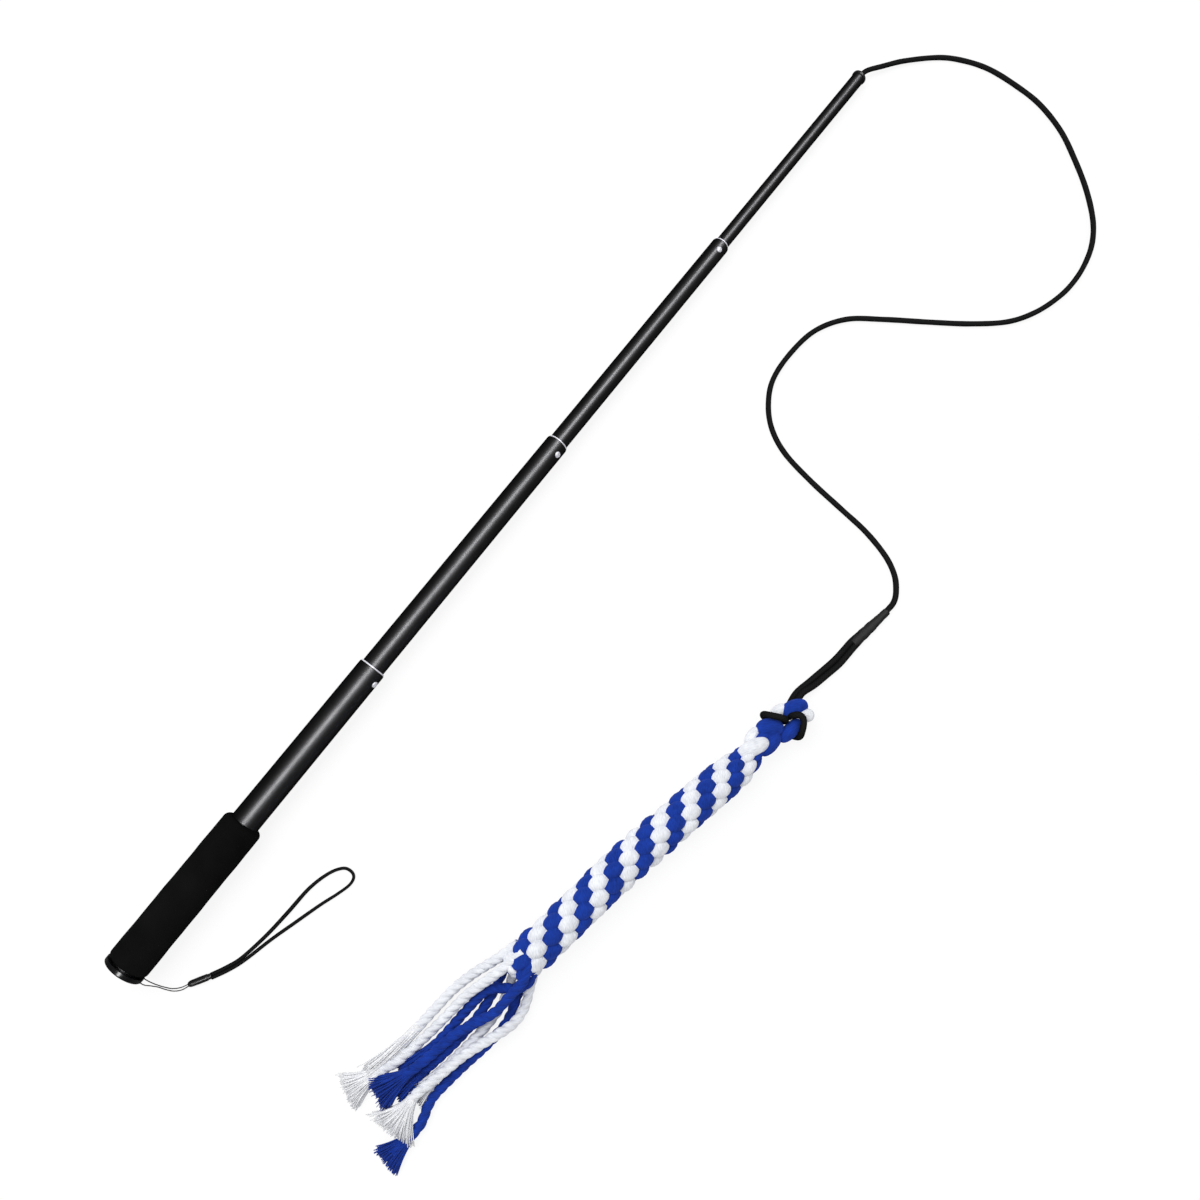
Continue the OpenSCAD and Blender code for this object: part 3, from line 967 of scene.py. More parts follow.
@dataclass(frozen=True)
class LureCord:
    """The cord from the tip to the toy, hitched round the toy's eye, with its shrunk sleeve.

    RUN and LOOP are the places that it passes before and after the sleeve, and SLEEVE is the sleeve's
    middle line, in millimetres. SWELL is the length over which it thickens, and WANDER holds the waves in
    its thickness. SLEEVE_HALF and SLEEVE_THICK are half the sleeve's width and height along it.

    Attributes:
        diameter: of the cord.
        doubled: diameter where it is doubled and hitched.
        leave: where it leaves the tip; not used.
        step: distance between its rings.
        sides: points on each ring.
        swing: where the hitched end starts to follow the toy, and where it follows it wholly; not used.
    """

    diameter: float = 4.6 * MM
    doubled: float = 5.0 * MM
    leave: Point = (0.9720, 0.0, -0.0097)
    step: float = 1.6 * MM
    sides: int = 20
    swing: tuple[Point, Point] = ((0.501, -0.2862, -0.0141), (0.445, -0.2750, -0.0102))

    RUN = (
        (951, 0, -9.5), (962, 0, -9.6), (972, 0, -9.7), (982, -2, -10), (995, -10, -11), (1016, -24, -12.8),
        (1040, -48, -14), (1051, -70, -14.1), (1056, -94, -14.1), (1054, -124, -14.1), (1048, -152, -14.1),
        (1033, -182, -14.1), (1012, -208, -14.1), (989, -232, -14.1), (964, -252, -14.1), (942, -263, -14.1),
        (920, -268, -14.1), (898, -269, -14.1), (876, -266, -14.1), (850, -257, -14.1), (827, -242, -14.1),
        (806, -217, -14.1), (786, -187, -14.1), (765, -154, -14.1), (746, -128, -14.1), (720, -112, -14.1),
        (688, -107, -14.1), (659, -109, -14.1), (637, -119, -14.1), (620, -134, -14.1), (608, -155, -14.1),
        (600, -185, -14.1), (594, -218, -14.1), (589, -245, -14.1), (581, -268, -14.1), (572, -282, -14.1),
        (562, -290, -14.1), (552, -294, -14.1), (540, -293, -14),
    )
    LOOP = (
        (504.6, -288.4, -14.1), (495, -287.4, -14.1), (483, -286, -14.1), (470, -282.6, -13.9),
        (458, -279.3, -12.4), (448.2, -275.4, -10.6), (443.1, -274.9, -9.8), (435.9, -274.9, -9.2),
        (429.6, -275.7, -8.9), (425.6, -276.2, -7), (423.9, -276.5, -3), (423.8, -276.5, 1.5),
        (425, -277.8, 5), (427.1, -280.7, 6.4), (426.9, -284.2, 6.4), (423.5, -287.1, 5.8),
        (419, -289.3, 3.6), (415.9, -290.6, -1.4), (414.9, -288.7, -7), (414.1, -283.4, -10.4),
        (413.3, -277.1, -11.2), (413.5, -271, -11.2), (413.6, -264.9, -9.8), (413.3, -260.7, -5.2),
        (413.3, -259.5, -0.5), (413.7, -261.4, 4.2), (415.4, -265.9, 6.4), (417.4, -270.8, 6.4),
        (418.7, -274.2, 4.6), (419.1, -275.3, 1), (419.2, -275.3, -4), (420.3, -275.1, -9),
        (424.9, -273.9, -12.8), (431.4, -272.5, -13.7), (437.7, -271.6, -13.9), (443.8, -271.4, -14),
        (449.5, -272.2, -14.1), (459, -274.9, -14.1), (471, -278, -14.1), (484, -281.2, -14.1),
        (496, -282.8, -14.1), (505.4, -284, -14.1), (516, -286.6, -14),
    )
    SLEEVE = ((542, -293.6, -13.8), (504, -286, -13.8))

    SWELL = 40 * MM
    WANDER = ((0.012, 310.0, 0.0), (0.01, 121.0, 0.0))

    SLEEVE_RINGS = 120
    SLEEVE_SIDES = 40
    SLEEVE_HALF = (
        (0, 2.8), (0.012, 3.0), (0.03, 3.1), (0.3, 3.4), (0.36, 3.8), (0.56, 4.1), (0.62, 4.25), (0.9, 4.3),
        (0.985, 4.15), (1, 3.9),
    )
    SLEEVE_THICK = ((0, 2.45), (0.012, 2.55), (0.6, 2.6), (0.985, 2.65), (1, 2.4))
    ROUNDING = 0.86
    WRINKLE = 0.02
    WRINKLE_RATE = 95.0
    WRINKLE_SLANT = 2.2
    WRINKLE_BEAT = 23.0
    WRINKLE_START = 1.0
    LUMP = 0.045
    LUMP_RATE = 29.0
    LUMP_SLANT = 1.4

    def build(self) -> None:
        """Builds the cord as one tube, swelling to its doubled part, and the sleeve over that part."""
        path = even_route(self.RUN + self.LOOP, self.step)
        along = lengths_along(path)
        run = lengths_along(even_route(self.RUN, self.step))[-1]
        width = np.interp(along, [run, run + self.SWELL], [self.diameter, self.doubled])
        radius = width / 2 * (1 + waves_along(along, self.WANDER))
        cord = swept(path, round_outline(radius, self.sides)).piece("lure_line", [CORD_WEAVE])
        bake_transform(cord)
        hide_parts("lure_cord", "cord_loop")
        sleeve = self.sleeve()

    def sleeve(self) -> bpy.types.Object:
        """Builds the sleeve: an oval that steps out from the cord to the doubled end, with wrinkles.

        Its section is x = w sign(c) |c|^p, y = t sign(s) |s|^p, with c and s the cosine and sine of the
        angle and p the ROUNDING. Waves that slant round it wrinkle it, and lumps grow towards its middle.

        Returns:
            The sleeve.
        """
        start, stop = np.array(self.SLEEVE) * MM
        share = np.linspace(0, 1, self.SLEEVE_RINGS)[:, None]
        angle = ring_angles(self.SLEEVE_SIDES)
        path = start + (stop - start) * share
        waves = np.sin(share * self.WRINKLE_RATE + self.WRINKLE_SLANT * np.sin(2 * angle))
        beat = np.sin(share * self.WRINKLE_BEAT + self.WRINKLE_START)
        lumps = np.sin(share * self.LUMP_RATE + self.LUMP_SLANT * np.sin(angle)) * np.sin(math.pi * share)
        wrinkle = 1 + self.WRINKLE * waves * beat + self.LUMP * lumps
        ways = np.stack([np.cos(angle), np.sin(angle)], -1)
        sizes = np.stack([profile_at(share, self.SLEEVE_HALF), profile_at(share, self.SLEEVE_THICK)], -1)
        outline = sizes * np.sign(ways) * np.abs(ways) ** self.ROUNDING * wrinkle[..., None]
        sleeve = swept(path, outline).piece("shrunk_sleeve_skin", [SLEEVE_FILM])
        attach(sleeve, "tip_section")
        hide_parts("cord_sleeve")
        return sleeve


@dataclass(frozen=True)
class LobeLattice:
    """The lobes of a round braid, set out on its unrolled surface.

    A lobe of column c and row j has its middle at pitch * (j + c / 2) along and width * c round,
    so each column is half a pitch on from the one before it. Lobes of one row have one colour.
    MARGIN_SHARE is how far past the braid's ends lobes are made, as a share of the pitch.

    Attributes:
        columns: lobes round the braid.
        pitch: distance along between lobes of a column.
        width: distance round between columns.
        edge_steps: faces along each of a lobe's six edges.
        rings: faces from a lobe's middle to its edge.
    """

    columns: int
    pitch: float
    width: float
    edge_steps: int = 7
    rings: int = 9

    MARGIN_SHARE = 0.8

    def yarn_ways(self) -> Array:
        """Unit directions of a lobe's yarns and across them, along and round, in columns."""
        with_yarn = unit(np.array([self.pitch / 2, self.width]))
        return np.array([[with_yarn[0], with_yarn[1]], [with_yarn[1], -with_yarn[0]]])

    def border(self) -> Array:
        """The edge of one lobe, half way to each of its six neighbours.

        Returns:
            Points on a hexagon about the middle, counter-clockwise.
        """
        one, two = np.array([self.pitch / 2, self.width]), np.array([self.pitch / 2, -self.width])
        near = np.array([one + two, one, -two, -one - two, -one, two])
        pairs = np.stack([near, np.roll(near, -1, axis=0)], axis=1)
        corners = np.linalg.solve(pairs, (pairs**2).sum(-1)[..., None] / 2)[..., 0]
        share = (np.arange(self.edge_steps) / self.edge_steps)[None, :, None]
        edges = corners[:, None] + (np.roll(corners, -1, axis=0) - corners)[:, None] * share
        return edges.reshape(-1, 2)

    def middles(self, length: float, shift: float) -> tuple[Array, Array]:
        """Middles of all lobes that reach a stretch of braid.

        Args:
            length: length of the braid's surface.
            shift: distance along of the first lobe.

        Returns:
            The middles, along and round, and the number of each one's row.
        """
        reach = math.ceil(length / self.pitch) + self.columns
        row, column = np.meshgrid(np.arange(-reach, reach), np.arange(self.columns), indexing="ij")
        along = shift + self.pitch * (row + column / 2)
        margin = self.MARGIN_SHARE * self.pitch
        near = (along > -margin) & (along < length + margin)
        return np.stack([along[near], self.width * column[near]], -1), row[near]


@dataclass(frozen=True)
class LobedBraid:
    """A braid of soft lobes along a level path.

    BALL_SHARE is the radius of a lobe's ball against the distance of its corners, PLUMP_SHARES are the
    least and greatest height of a lobe, and FADE is the length over which the lobes flatten at its ends.
    YARN_PITCH is the distance between the yarns' ridges, and RIDGE_LEVEL the share of a ridge's height
    that is sunk into the lobe.

    Attributes:
        lattice: how its lobes are set out.
        body: distance along the path and radius at each known place, in millimetres.
        nose: how far its rounded ends reach beyond the first and last place.
        depth: how deep the creases go.
        turn: angle of the first column from the top at the path's start, in degrees.
        twist: how far the columns turn along the braid, in degrees for a metre.
        sway: how far a lobe on the side of the braid is set on, against one on its top.
        shift: place along the path of the first lobe.
        ridge: height of the yarns' ridges on a lobe.
    """

    lattice: LobeLattice
    body: Profile
    nose: tuple[float, float]
    depth: float
    turn: float
    twist: float
    sway: float
    shift: float
    ridge: float = 0.22 * MM

    NOSE_STEPS = 40
    BODY_STEPS = 400
    BALL_SHARE = 1.01
    YARN_PITCH = 3.0 * MM
    RIDGE_LEVEL = 0.6
    PLUMP_SHARES = (0.86, 1.06)
    FADE = 7 * MM

    def profile(self) -> tuple[Array, Array]:
        """The braid's outline from end to end: straight between its known places, with elliptic noses.

        Returns:
            Distance along the path and radius, in small steps.
        """
        stations, radii = np.transpose(self.body) * MM
        quarter = np.linspace(0, QUARTER_TURN, self.NOSE_STEPS)
        body = np.linspace(stations[0], stations[-1], self.BODY_STEPS)[1:-1]
        along = np.concatenate([
            stations[0] - self.nose[0] * np.cos(quarter), body, stations[-1] + self.nose[1] * np.sin(quarter)
        ])
        radius = np.concatenate([
            radii[0] * np.sin(quarter), np.interp(body, stations, radii), radii[-1] * np.cos(quarter)
        ])
        return along, radius

    def shell(self, path: Array, seed: int) -> Shell:
        """Wraps the lattice round the path and swells each lobe between its creases.

        A lobe is part of a ball that reaches just past its corners, so creases are deepest where three
        lobes meet, and low ridges run over it as the yarns do.

        Args:
            path: the braid's middle line, level.
            seed: start of the random differences between lobes.

        Returns:
            The skin, with the row's colour as finish number.
        """
        random = np.random.default_rng(seed)
        along, radius = self.profile()
        surface = np.concatenate([[0.0], np.hypot(np.diff(along), np.diff(radius)).cumsum()])
        lean = unit(np.stack([-np.gradient(radius, surface), np.gradient(along, surface)], -1))
        lattice, total = self.lattice, surface[-1]
        border = lattice.border()
        middles, rows = lattice.middles(total, float(np.interp(self.shift, along, surface)))
        count, sides = len(middles), len(border)
        reach = np.arange(1, lattice.rings + 1) / lattice.rings
        local = np.concatenate([np.zeros((1, 2)), (reach[:, None, None] * border).reshape(-1, 2)])
        out = np.concatenate([[0.0], np.repeat(reach, sides)])
        place = middles[:, None] + local
        ball = self.BALL_SHARE * np.linalg.norm(border, axis=-1).max()
        swell = np.sqrt(1 - (np.linalg.norm(local, axis=-1) / ball) ** 2)
        yarn = local @ lattice.yarn_ways()
        phase = random.uniform(0, math.pi, (count, 1))
        waves = np.abs(np.cos(yarn[:, 1] * math.pi / self.YARN_PITCH + phase)) - self.RIDGE_LEVEL
        ridges = self.ridge * waves * (1 - out**2)
        height = random.uniform(*self.PLUMP_SHARES, (count, 1))
        spot = np.clip(place[..., 0], 0, total)
        fade = np.clip(np.minimum(spot, total - spot) / self.FADE, 0, 1)
        drop = (self.depth * (swell - 1 + (height - 1) * (1 - out**2)) + ridges) * fade
        level = np.interp(spot, surface, along)
        angle = np.radians(self.turn + self.twist * level) + (
            place[..., 1] * FULL_TURN / (lattice.columns * lattice.width)
        )
        run = level + self.sway * np.sin(angle) + drop * np.interp(spot, surface, lean[:, 0])
        ring = np.interp(spot, surface, radius) + drop * np.interp(spot, surface, lean[:, 1])
        centre, beside = self.on_path(path, run)
        points = centre + ring[..., None] * (
            np.cos(angle)[..., None] * UP + np.sin(angle)[..., None] * beside
        )
        quads, fans = self.lobe_faces(lattice.rings, sides)
        first = np.arange(count)[:, None, None] * len(local)
        yarn = yarn + random.uniform(0, 1, (count, 1, 2))
        lobe = np.arange(count)[:, None, None]
        color = np.mod(rows, len(Yarn))
        return Shell(
            points.reshape(-1, 3),
            [(quads + first).reshape(-1, 4), (fans + first).reshape(-1, 3)],
            [yarn[lobe, quads].reshape(-1, 4, 2), yarn[lobe, fans].reshape(-1, 3, 2)],
            [np.repeat(color, len(quads)), np.repeat(color, len(fans))],
        )

    @staticmethod
    def lobe_faces(rings: int, sides: int) -> tuple[Array, Array]:
        """Faces of one lobe, whose first point is its middle.

        Args:
            rings: rings of points round the middle.
            sides: points on each ring.

        Returns:
            Quads between rings and triangles round the middle.
        """
        ring, side = np.meshgrid(np.arange(rings - 1), np.arange(sides), indexing="ij")
        here, after = 1 + ring * sides + side, 1 + ring * sides + (side + 1) % sides
        quads = np.stack([here, here + sides, after + sides, after], -1).reshape(-1, 4)
        side = np.arange(sides)
        return quads, np.stack([np.zeros_like(side), 1 + side, 1 + (side + 1) % sides], -1)

    @staticmethod
    def on_path(path: Array, run: Array) -> tuple[Array, Array]:
        """Points and sideways directions at distances along a level path, straight on beyond its ends.

        Args:
            path: the path.
            run: distances along it.

        Returns:
            Points, and unit directions to the left of the way along seen from above.
        """
        own = lengths_along(path)
        ahead = unit(np.gradient(path, axis=0))
        clipped = np.clip(run, 0, own[-1])
        point = at_lengths(path, clipped)
        way = unit(np.stack([np.interp(clipped, own, ahead[:, axis]) for axis in range(3)], -1))
        return point + (run - clipped)[..., None] * way, np.cross(UP, way)


@dataclass(frozen=True)
class Strand:
    """One loose end of the toy's rope.

    Attributes:
        name: name of its CAD node.
        yarn: its colour.
        route: places that it passes, from below the braid's end, in millimetres.
        brush: how far its frayed end reaches past the route, in metres.
        spread: how far the frayed end opens, in degrees.
    """

    name: str
    yarn: Yarn
    route: tuple[Point, ...]
    brush: float
    spread: float


STRANDS = (
    Strand("blue_strand_1", Yarn.BLUE, (
        (8, 9.9, -5.4), (-4, 8.9, -9), (-17, 6.7, -12.2), (-31, 4.3, -12.8), (-47, 3.3, -12.8),
        (-63, 4.7, -12.8), (-77, 7, -12.8), (-97, 11.6, -12.8), (-112, 14.9, -12.8)), 10 * MM, 12),
    Strand("blue_strand_2", Yarn.BLUE, (
        (3, -9.1, 2.5), (-7, -11.5, 0.5), (-15, -8.1, -2.4), (-20, -2.1, -4.6), (-25, 4.9, -4.8),
        (-31, 9.3, -5.8), (-41, 11.3, -8.6), (-54, 12.9, -12), (-67, 14.1, -12.8), (-81, 16.3, -12.8),
        (-97, 20.3, -12.8)), 12 * MM, 12),
    Strand("blue_strand_3", Yarn.BLUE, (
        (5, -3.4, 8.4), (-6, -7.7, 8.3), (-14, -7.5, 5.6), (-24, -6.1, 2.8), (-36, -4.6, -0.5),
        (-49, 1.4, -4), (-62, 7.9, -5.6), (-74, 11.3, -6.2), (-89, 15.3, -5.4), (-103, 19.7, -5.6),
        (-115, 23.9, -10)), 14 * MM, 17),
    Strand("blue_strand_4", Yarn.BLUE, (
        (4.5, -3.6, -11.2), (-17, -9.5, -12.8), (-38, -15.1, -12.8), (-57, -13.1, -12.8),
        (-76, -8.7, -12.8), (-92, -5.5, -12.8), (-105, -3.5, -12.8), (-114, -4.7, -12.8),
        (-123, -7.1, -12.8), (-135, -6.1, -12.8), (-148, -4.1, -12.8)), 9 * MM, 15),
    Strand("white_strand_1", Yarn.WHITE, (
        (8, 9.9, 2.5), (-7, 14.9, 1.5), (-25, 22.4, -4), (-43, 27.9, -9), (-61, 30.5, -12),
        (-77, 32.5, -12.8), (-93, 34.9, -12.8)), 32 * MM, 2),
    Strand("white_strand_2", Yarn.WHITE, (
        (7, 3.9, 8.2), (-11, 8.4, 6), (-26, 13.5, 2), (-41, 18.3, -4.2), (-58, 20.9, -9.6),
        (-74, 23.5, -12.4), (-90, 26.9, -12.2), (-103, 30.5, -10.2), (-117, 37.3, -11.4),
        (-129, 41.9, -12.8)), 12 * MM, 18),
    Strand("white_strand_3", Yarn.WHITE, (
        (3, -9.1, -5.4), (-12, -14.9, -7.9), (-23, -19.1, -9.6), (-33, -19.7, -7.5), (-42, -17.1, -5.6),
        (-56, -10.7, -5.2), (-70, -4.7, -5.4), (-83, -0.7, -5.4), (-96, 2.9, -5.6), (-107, 6.3, -5.2),
        (-118, 7.5, -7.6), (-128, 5.9, -11)), 11 * MM, 26),
    Strand("white_strand_4", Yarn.WHITE, (
        (7.5, 4.4, -11.2), (-5, 1.9, -12.8), (-17, -1.5, -12.8), (-31, -5.3, -12.8), (-47, -5.3, -12.8),
        (-63, -3.3, -12.8), (-77, -0.7, -12.8), (-93, 2.7, -12.8), (-105, 4.9, -12.8)), 10 * MM, 12),
)


@dataclass(frozen=True)
class Pillow:
    """One swollen turn of yarn on the toy's eye or neck.

    PLUMP is the power that rounds it, RIDGE the share of its thickness that the ridges of its YARNS take,
    SLANT how far they turn along it and TIP_ANGLE how near its end rings lie to its tips, in radians.

    Attributes:
        yarn: its colour.
        place: its middle, down from the eye's middle, aside and up, in millimetres.
        size: its length, breadth and height, in millimetres.
        turn: its direction from the toy's line towards -Y, in degrees.
    """

    yarn: Yarn
    place: Point
    size: Point
    turn: float

    PLUMP = 0.8
    RIDGE = 0.05
    YARNS = 7
    SLANT = 1.6
    TIP_ANGLE = 0.04
    RINGS = 26
    SIDES = 42

    def below(self) -> "Pillow":
        """The same turn on the underside."""
        return replace(self, place=(*self.place[:2], -self.place[2]))

    def shell(self, start: Array, down: Array, aside: Array) -> Shell:
        """An egg of rings, each sin(a)^p of the full section, with slanting ridges for its yarns.

        Args:
            start: the eye's middle.
            down: direction of the toy's line.
            aside: direction to the side of it.

        Returns:
            Its skin.
        """
        turn = math.radians(self.turn)
        along = math.cos(turn) * down + math.sin(turn) * aside
        middle = start + (self.place[0] * down + self.place[1] * aside + self.place[2] * UP) * MM
        half = np.array(self.size) / 2 * MM
        polar = np.linspace(self.TIP_ANGLE, math.pi - self.TIP_ANGLE, self.RINGS)[::-1, None]
        angle = ring_angles(self.SIDES)
        path = middle + half[0] * np.cos(polar) * along
        slant = self.YARNS / 2 * angle + self.SLANT * np.cos(polar)
        ridges = 1 + self.RIDGE * (np.abs(np.sin(slant)) - 1)
        wide = np.sin(polar) ** self.PLUMP * ridges
        outline = np.stack([half[1] * wide * np.cos(angle), half[2] * wide * np.sin(angle)], -1)
        frames = fixed_frames(path, along, np.cross(UP, along), UP)
        shell = swept(path, outline, FULL_TURN * half[1], frames)
        shell.finish = [np.full(len(faces), self.yarn.value) for faces in shell.faces]
        return shell


EYE_PILLOWS = (
    Pillow(Yarn.BLUE, (-9.0, -2.2, 0.4), (22, 13.4, 10.6), -20),
    Pillow(Yarn.WHITE, (-11.0, 6.2, -0.4), (16, 11.4, 9.6), -38),
    Pillow(Yarn.WHITE, (0.6, -8.0, -0.6), (15, 10.4, 9.4), -12),
    Pillow(Yarn.BLUE, (4.0, 7.8, 0), (24, 11.4, 9.8), 2),
    Pillow(Yarn.BLUE, (15.2, -3.6, 1.6), (21, 15.4, 12.2), -38),
)
NECK_PILLOWS = (
    Pillow(Yarn.BLUE, (23.2, 5.2, 2.6), (20, 11.5, 10), 6),
    Pillow(Yarn.WHITE, (28.6, -8.2, 0.6), (16, 8.6, 9.5), 12),
    Pillow(Yarn.WHITE, (35.4, -1.4, 6.2), (25, 12.6, 12.6), -17),
)


@dataclass(frozen=True)
class FrayedEnd:
    """The frayed end of a strand: fibres that open out, droop and lie on the floor.

    Attributes:
        fibres: count of fibres.
        cover: how much of the strand they cover.
        radius: radius of the strand.
        slope: share of the strand's slope that they keep.
        roots: least and greatest square of a root's distance out, as shares of the radius.
        widest: greatest turn of a fibre aside, as a share of the strand's spread.
        stray: how much the turns aside differ, as a share of the same.
        lift: mean rise of a fibre, and how much the rises differ.
        lengths: least and greatest length of a fibre, as shares of the full length.
        curl: how much the fibres' curls differ.
        opening: power of the way along with which a fibre turns aside.
        sag: how far a fibre's end drops, as a share of its length.
        thick: least and greatest radius of a fibre, in millimetres.
        taper: share of its radius that a fibre loses.
        clear: gap between the fibres and the floor.
        rings: rings along a fibre.
        sides: points on each ring.
        around: texture width of one turn round a fibre.
        seed: start of the random differences, with the strand's number added.
    """

    fibres: int = 430
    cover: float = 17 * MM
    radius: float = STRAND_WIDTH / 2
    slope: float = 0.4
    roots: tuple[float, float] = (0.2, 0.7)
    widest: float = 1.15
    stray: float = 0.16
    lift: tuple[float, float] = (-0.02, 0.06)
    lengths: tuple[float, float] = (0.84, 1.0)
    curl: float = 0.05
    opening: float = 1.6
    sag: float = 0.06
    thick: tuple[float, float] = (0.38, 0.64)
    taper: float = 0.5
    clear: float = 0.1 * MM
    rings: int = 7
    sides: int = 4
    around: float = 3 * MM
    seed: int = 100

    def lines(self, strand: Strand, path: Array, random: np.random.Generator) -> tuple[Array, Array]:
        """Middle lines and radii of the fibres.

        Each fibre starts on the strand a little before its end and runs on with it, turned aside by its
        own angle, and curls and sags with the square of the way along; nothing goes below the floor.

        Args:
            strand: the strand.
            path: its middle line.
            random: source of the differences between fibres.

        Returns:
            Points and radii, a row for each fibre.
        """
        count = self.fibres
        base = at_lengths(path, lengths_along(path)[-1:] - self.cover)[0]
        level = unit(unit(path[-1] - base) * np.array([1.0, 1.0, self.slope]))
        beside = unit(np.cross(UP, level))
        above = np.cross(level, beside)
        spin = random.uniform(0, FULL_TURN, count)
        out = np.sqrt(random.uniform(*self.roots, count)) * self.radius
        root = base + (out * np.cos(spin))[:, None] * beside + (out * np.sin(spin))[:, None] * above
        lean = out * np.cos(spin) / self.radius * self.widest + random.normal(0, self.stray, count)
        aside = np.tan(np.radians(strand.spread) * np.clip(lean, -self.widest, self.widest))
        way = unit(level + random.normal(*self.lift, count)[:, None] * above)
        length = (strand.brush + self.cover) * random.uniform(*self.lengths, count)[:, None]
        curl = random.normal(0, self.curl, count)[:, None]
        share = np.linspace(0, 1, self.rings)
        opened = length * (aside[:, None] * share**self.opening + curl * share**2)
        line = root[:, None] + (length * share)[..., None] * way[:, None] + opened[..., None] * beside
        thick = random.uniform(*self.thick, count)[:, None] * MM * (1 - self.taper * share**3)
        sag = length * self.sag * share**2
        line[..., 2] = np.maximum(line[..., 2] - sag, FLOOR + thick + self.clear)
        return line, thick

    def shell(self, strand: Strand, path: Array, number: int) -> Shell:
        """Thin tubes round the fibres' lines.

        Args:
            strand: the strand.
            path: its middle line.
            number: the strand's number.

        Returns:
            The skin of all fibres.
        """
        random = np.random.default_rng(self.seed + number)
        line, thick = self.lines(strand, path, random)
        count, rings, sides = self.fibres, self.rings, self.sides
        along = unit(np.gradient(line, axis=1))
        side = unit(np.cross(UP, along))
        top = np.cross(along, side)
        angle = ring_angles(sides)[:, None]
        grid = line[:, :, None] + thick[..., None, None] * (
            np.cos(angle) * side[:, :, None] + np.sin(angle) * top[:, :, None]
        )
        first = np.arange(count)[:, None, None] * rings * sides
        ends = end_faces(rings, sides)
        faces = np.concatenate([ring_faces(rings, sides), ends])
        lay = ring_places(np.linspace(0, strand.brush + self.cover, rings), sides, self.around)
        places = np.tile(np.concatenate([lay, np.zeros((len(ends), sides, 2))]), (count, 1, 1))
        places = places + np.repeat(random.uniform(0, 1, (count, 1, 2)), len(faces), axis=0)
        finish = np.zeros(count * len(faces))
        return Shell(grid.reshape(-1, 3), [(faces + first).reshape(-1, sides)], [places], [finish])


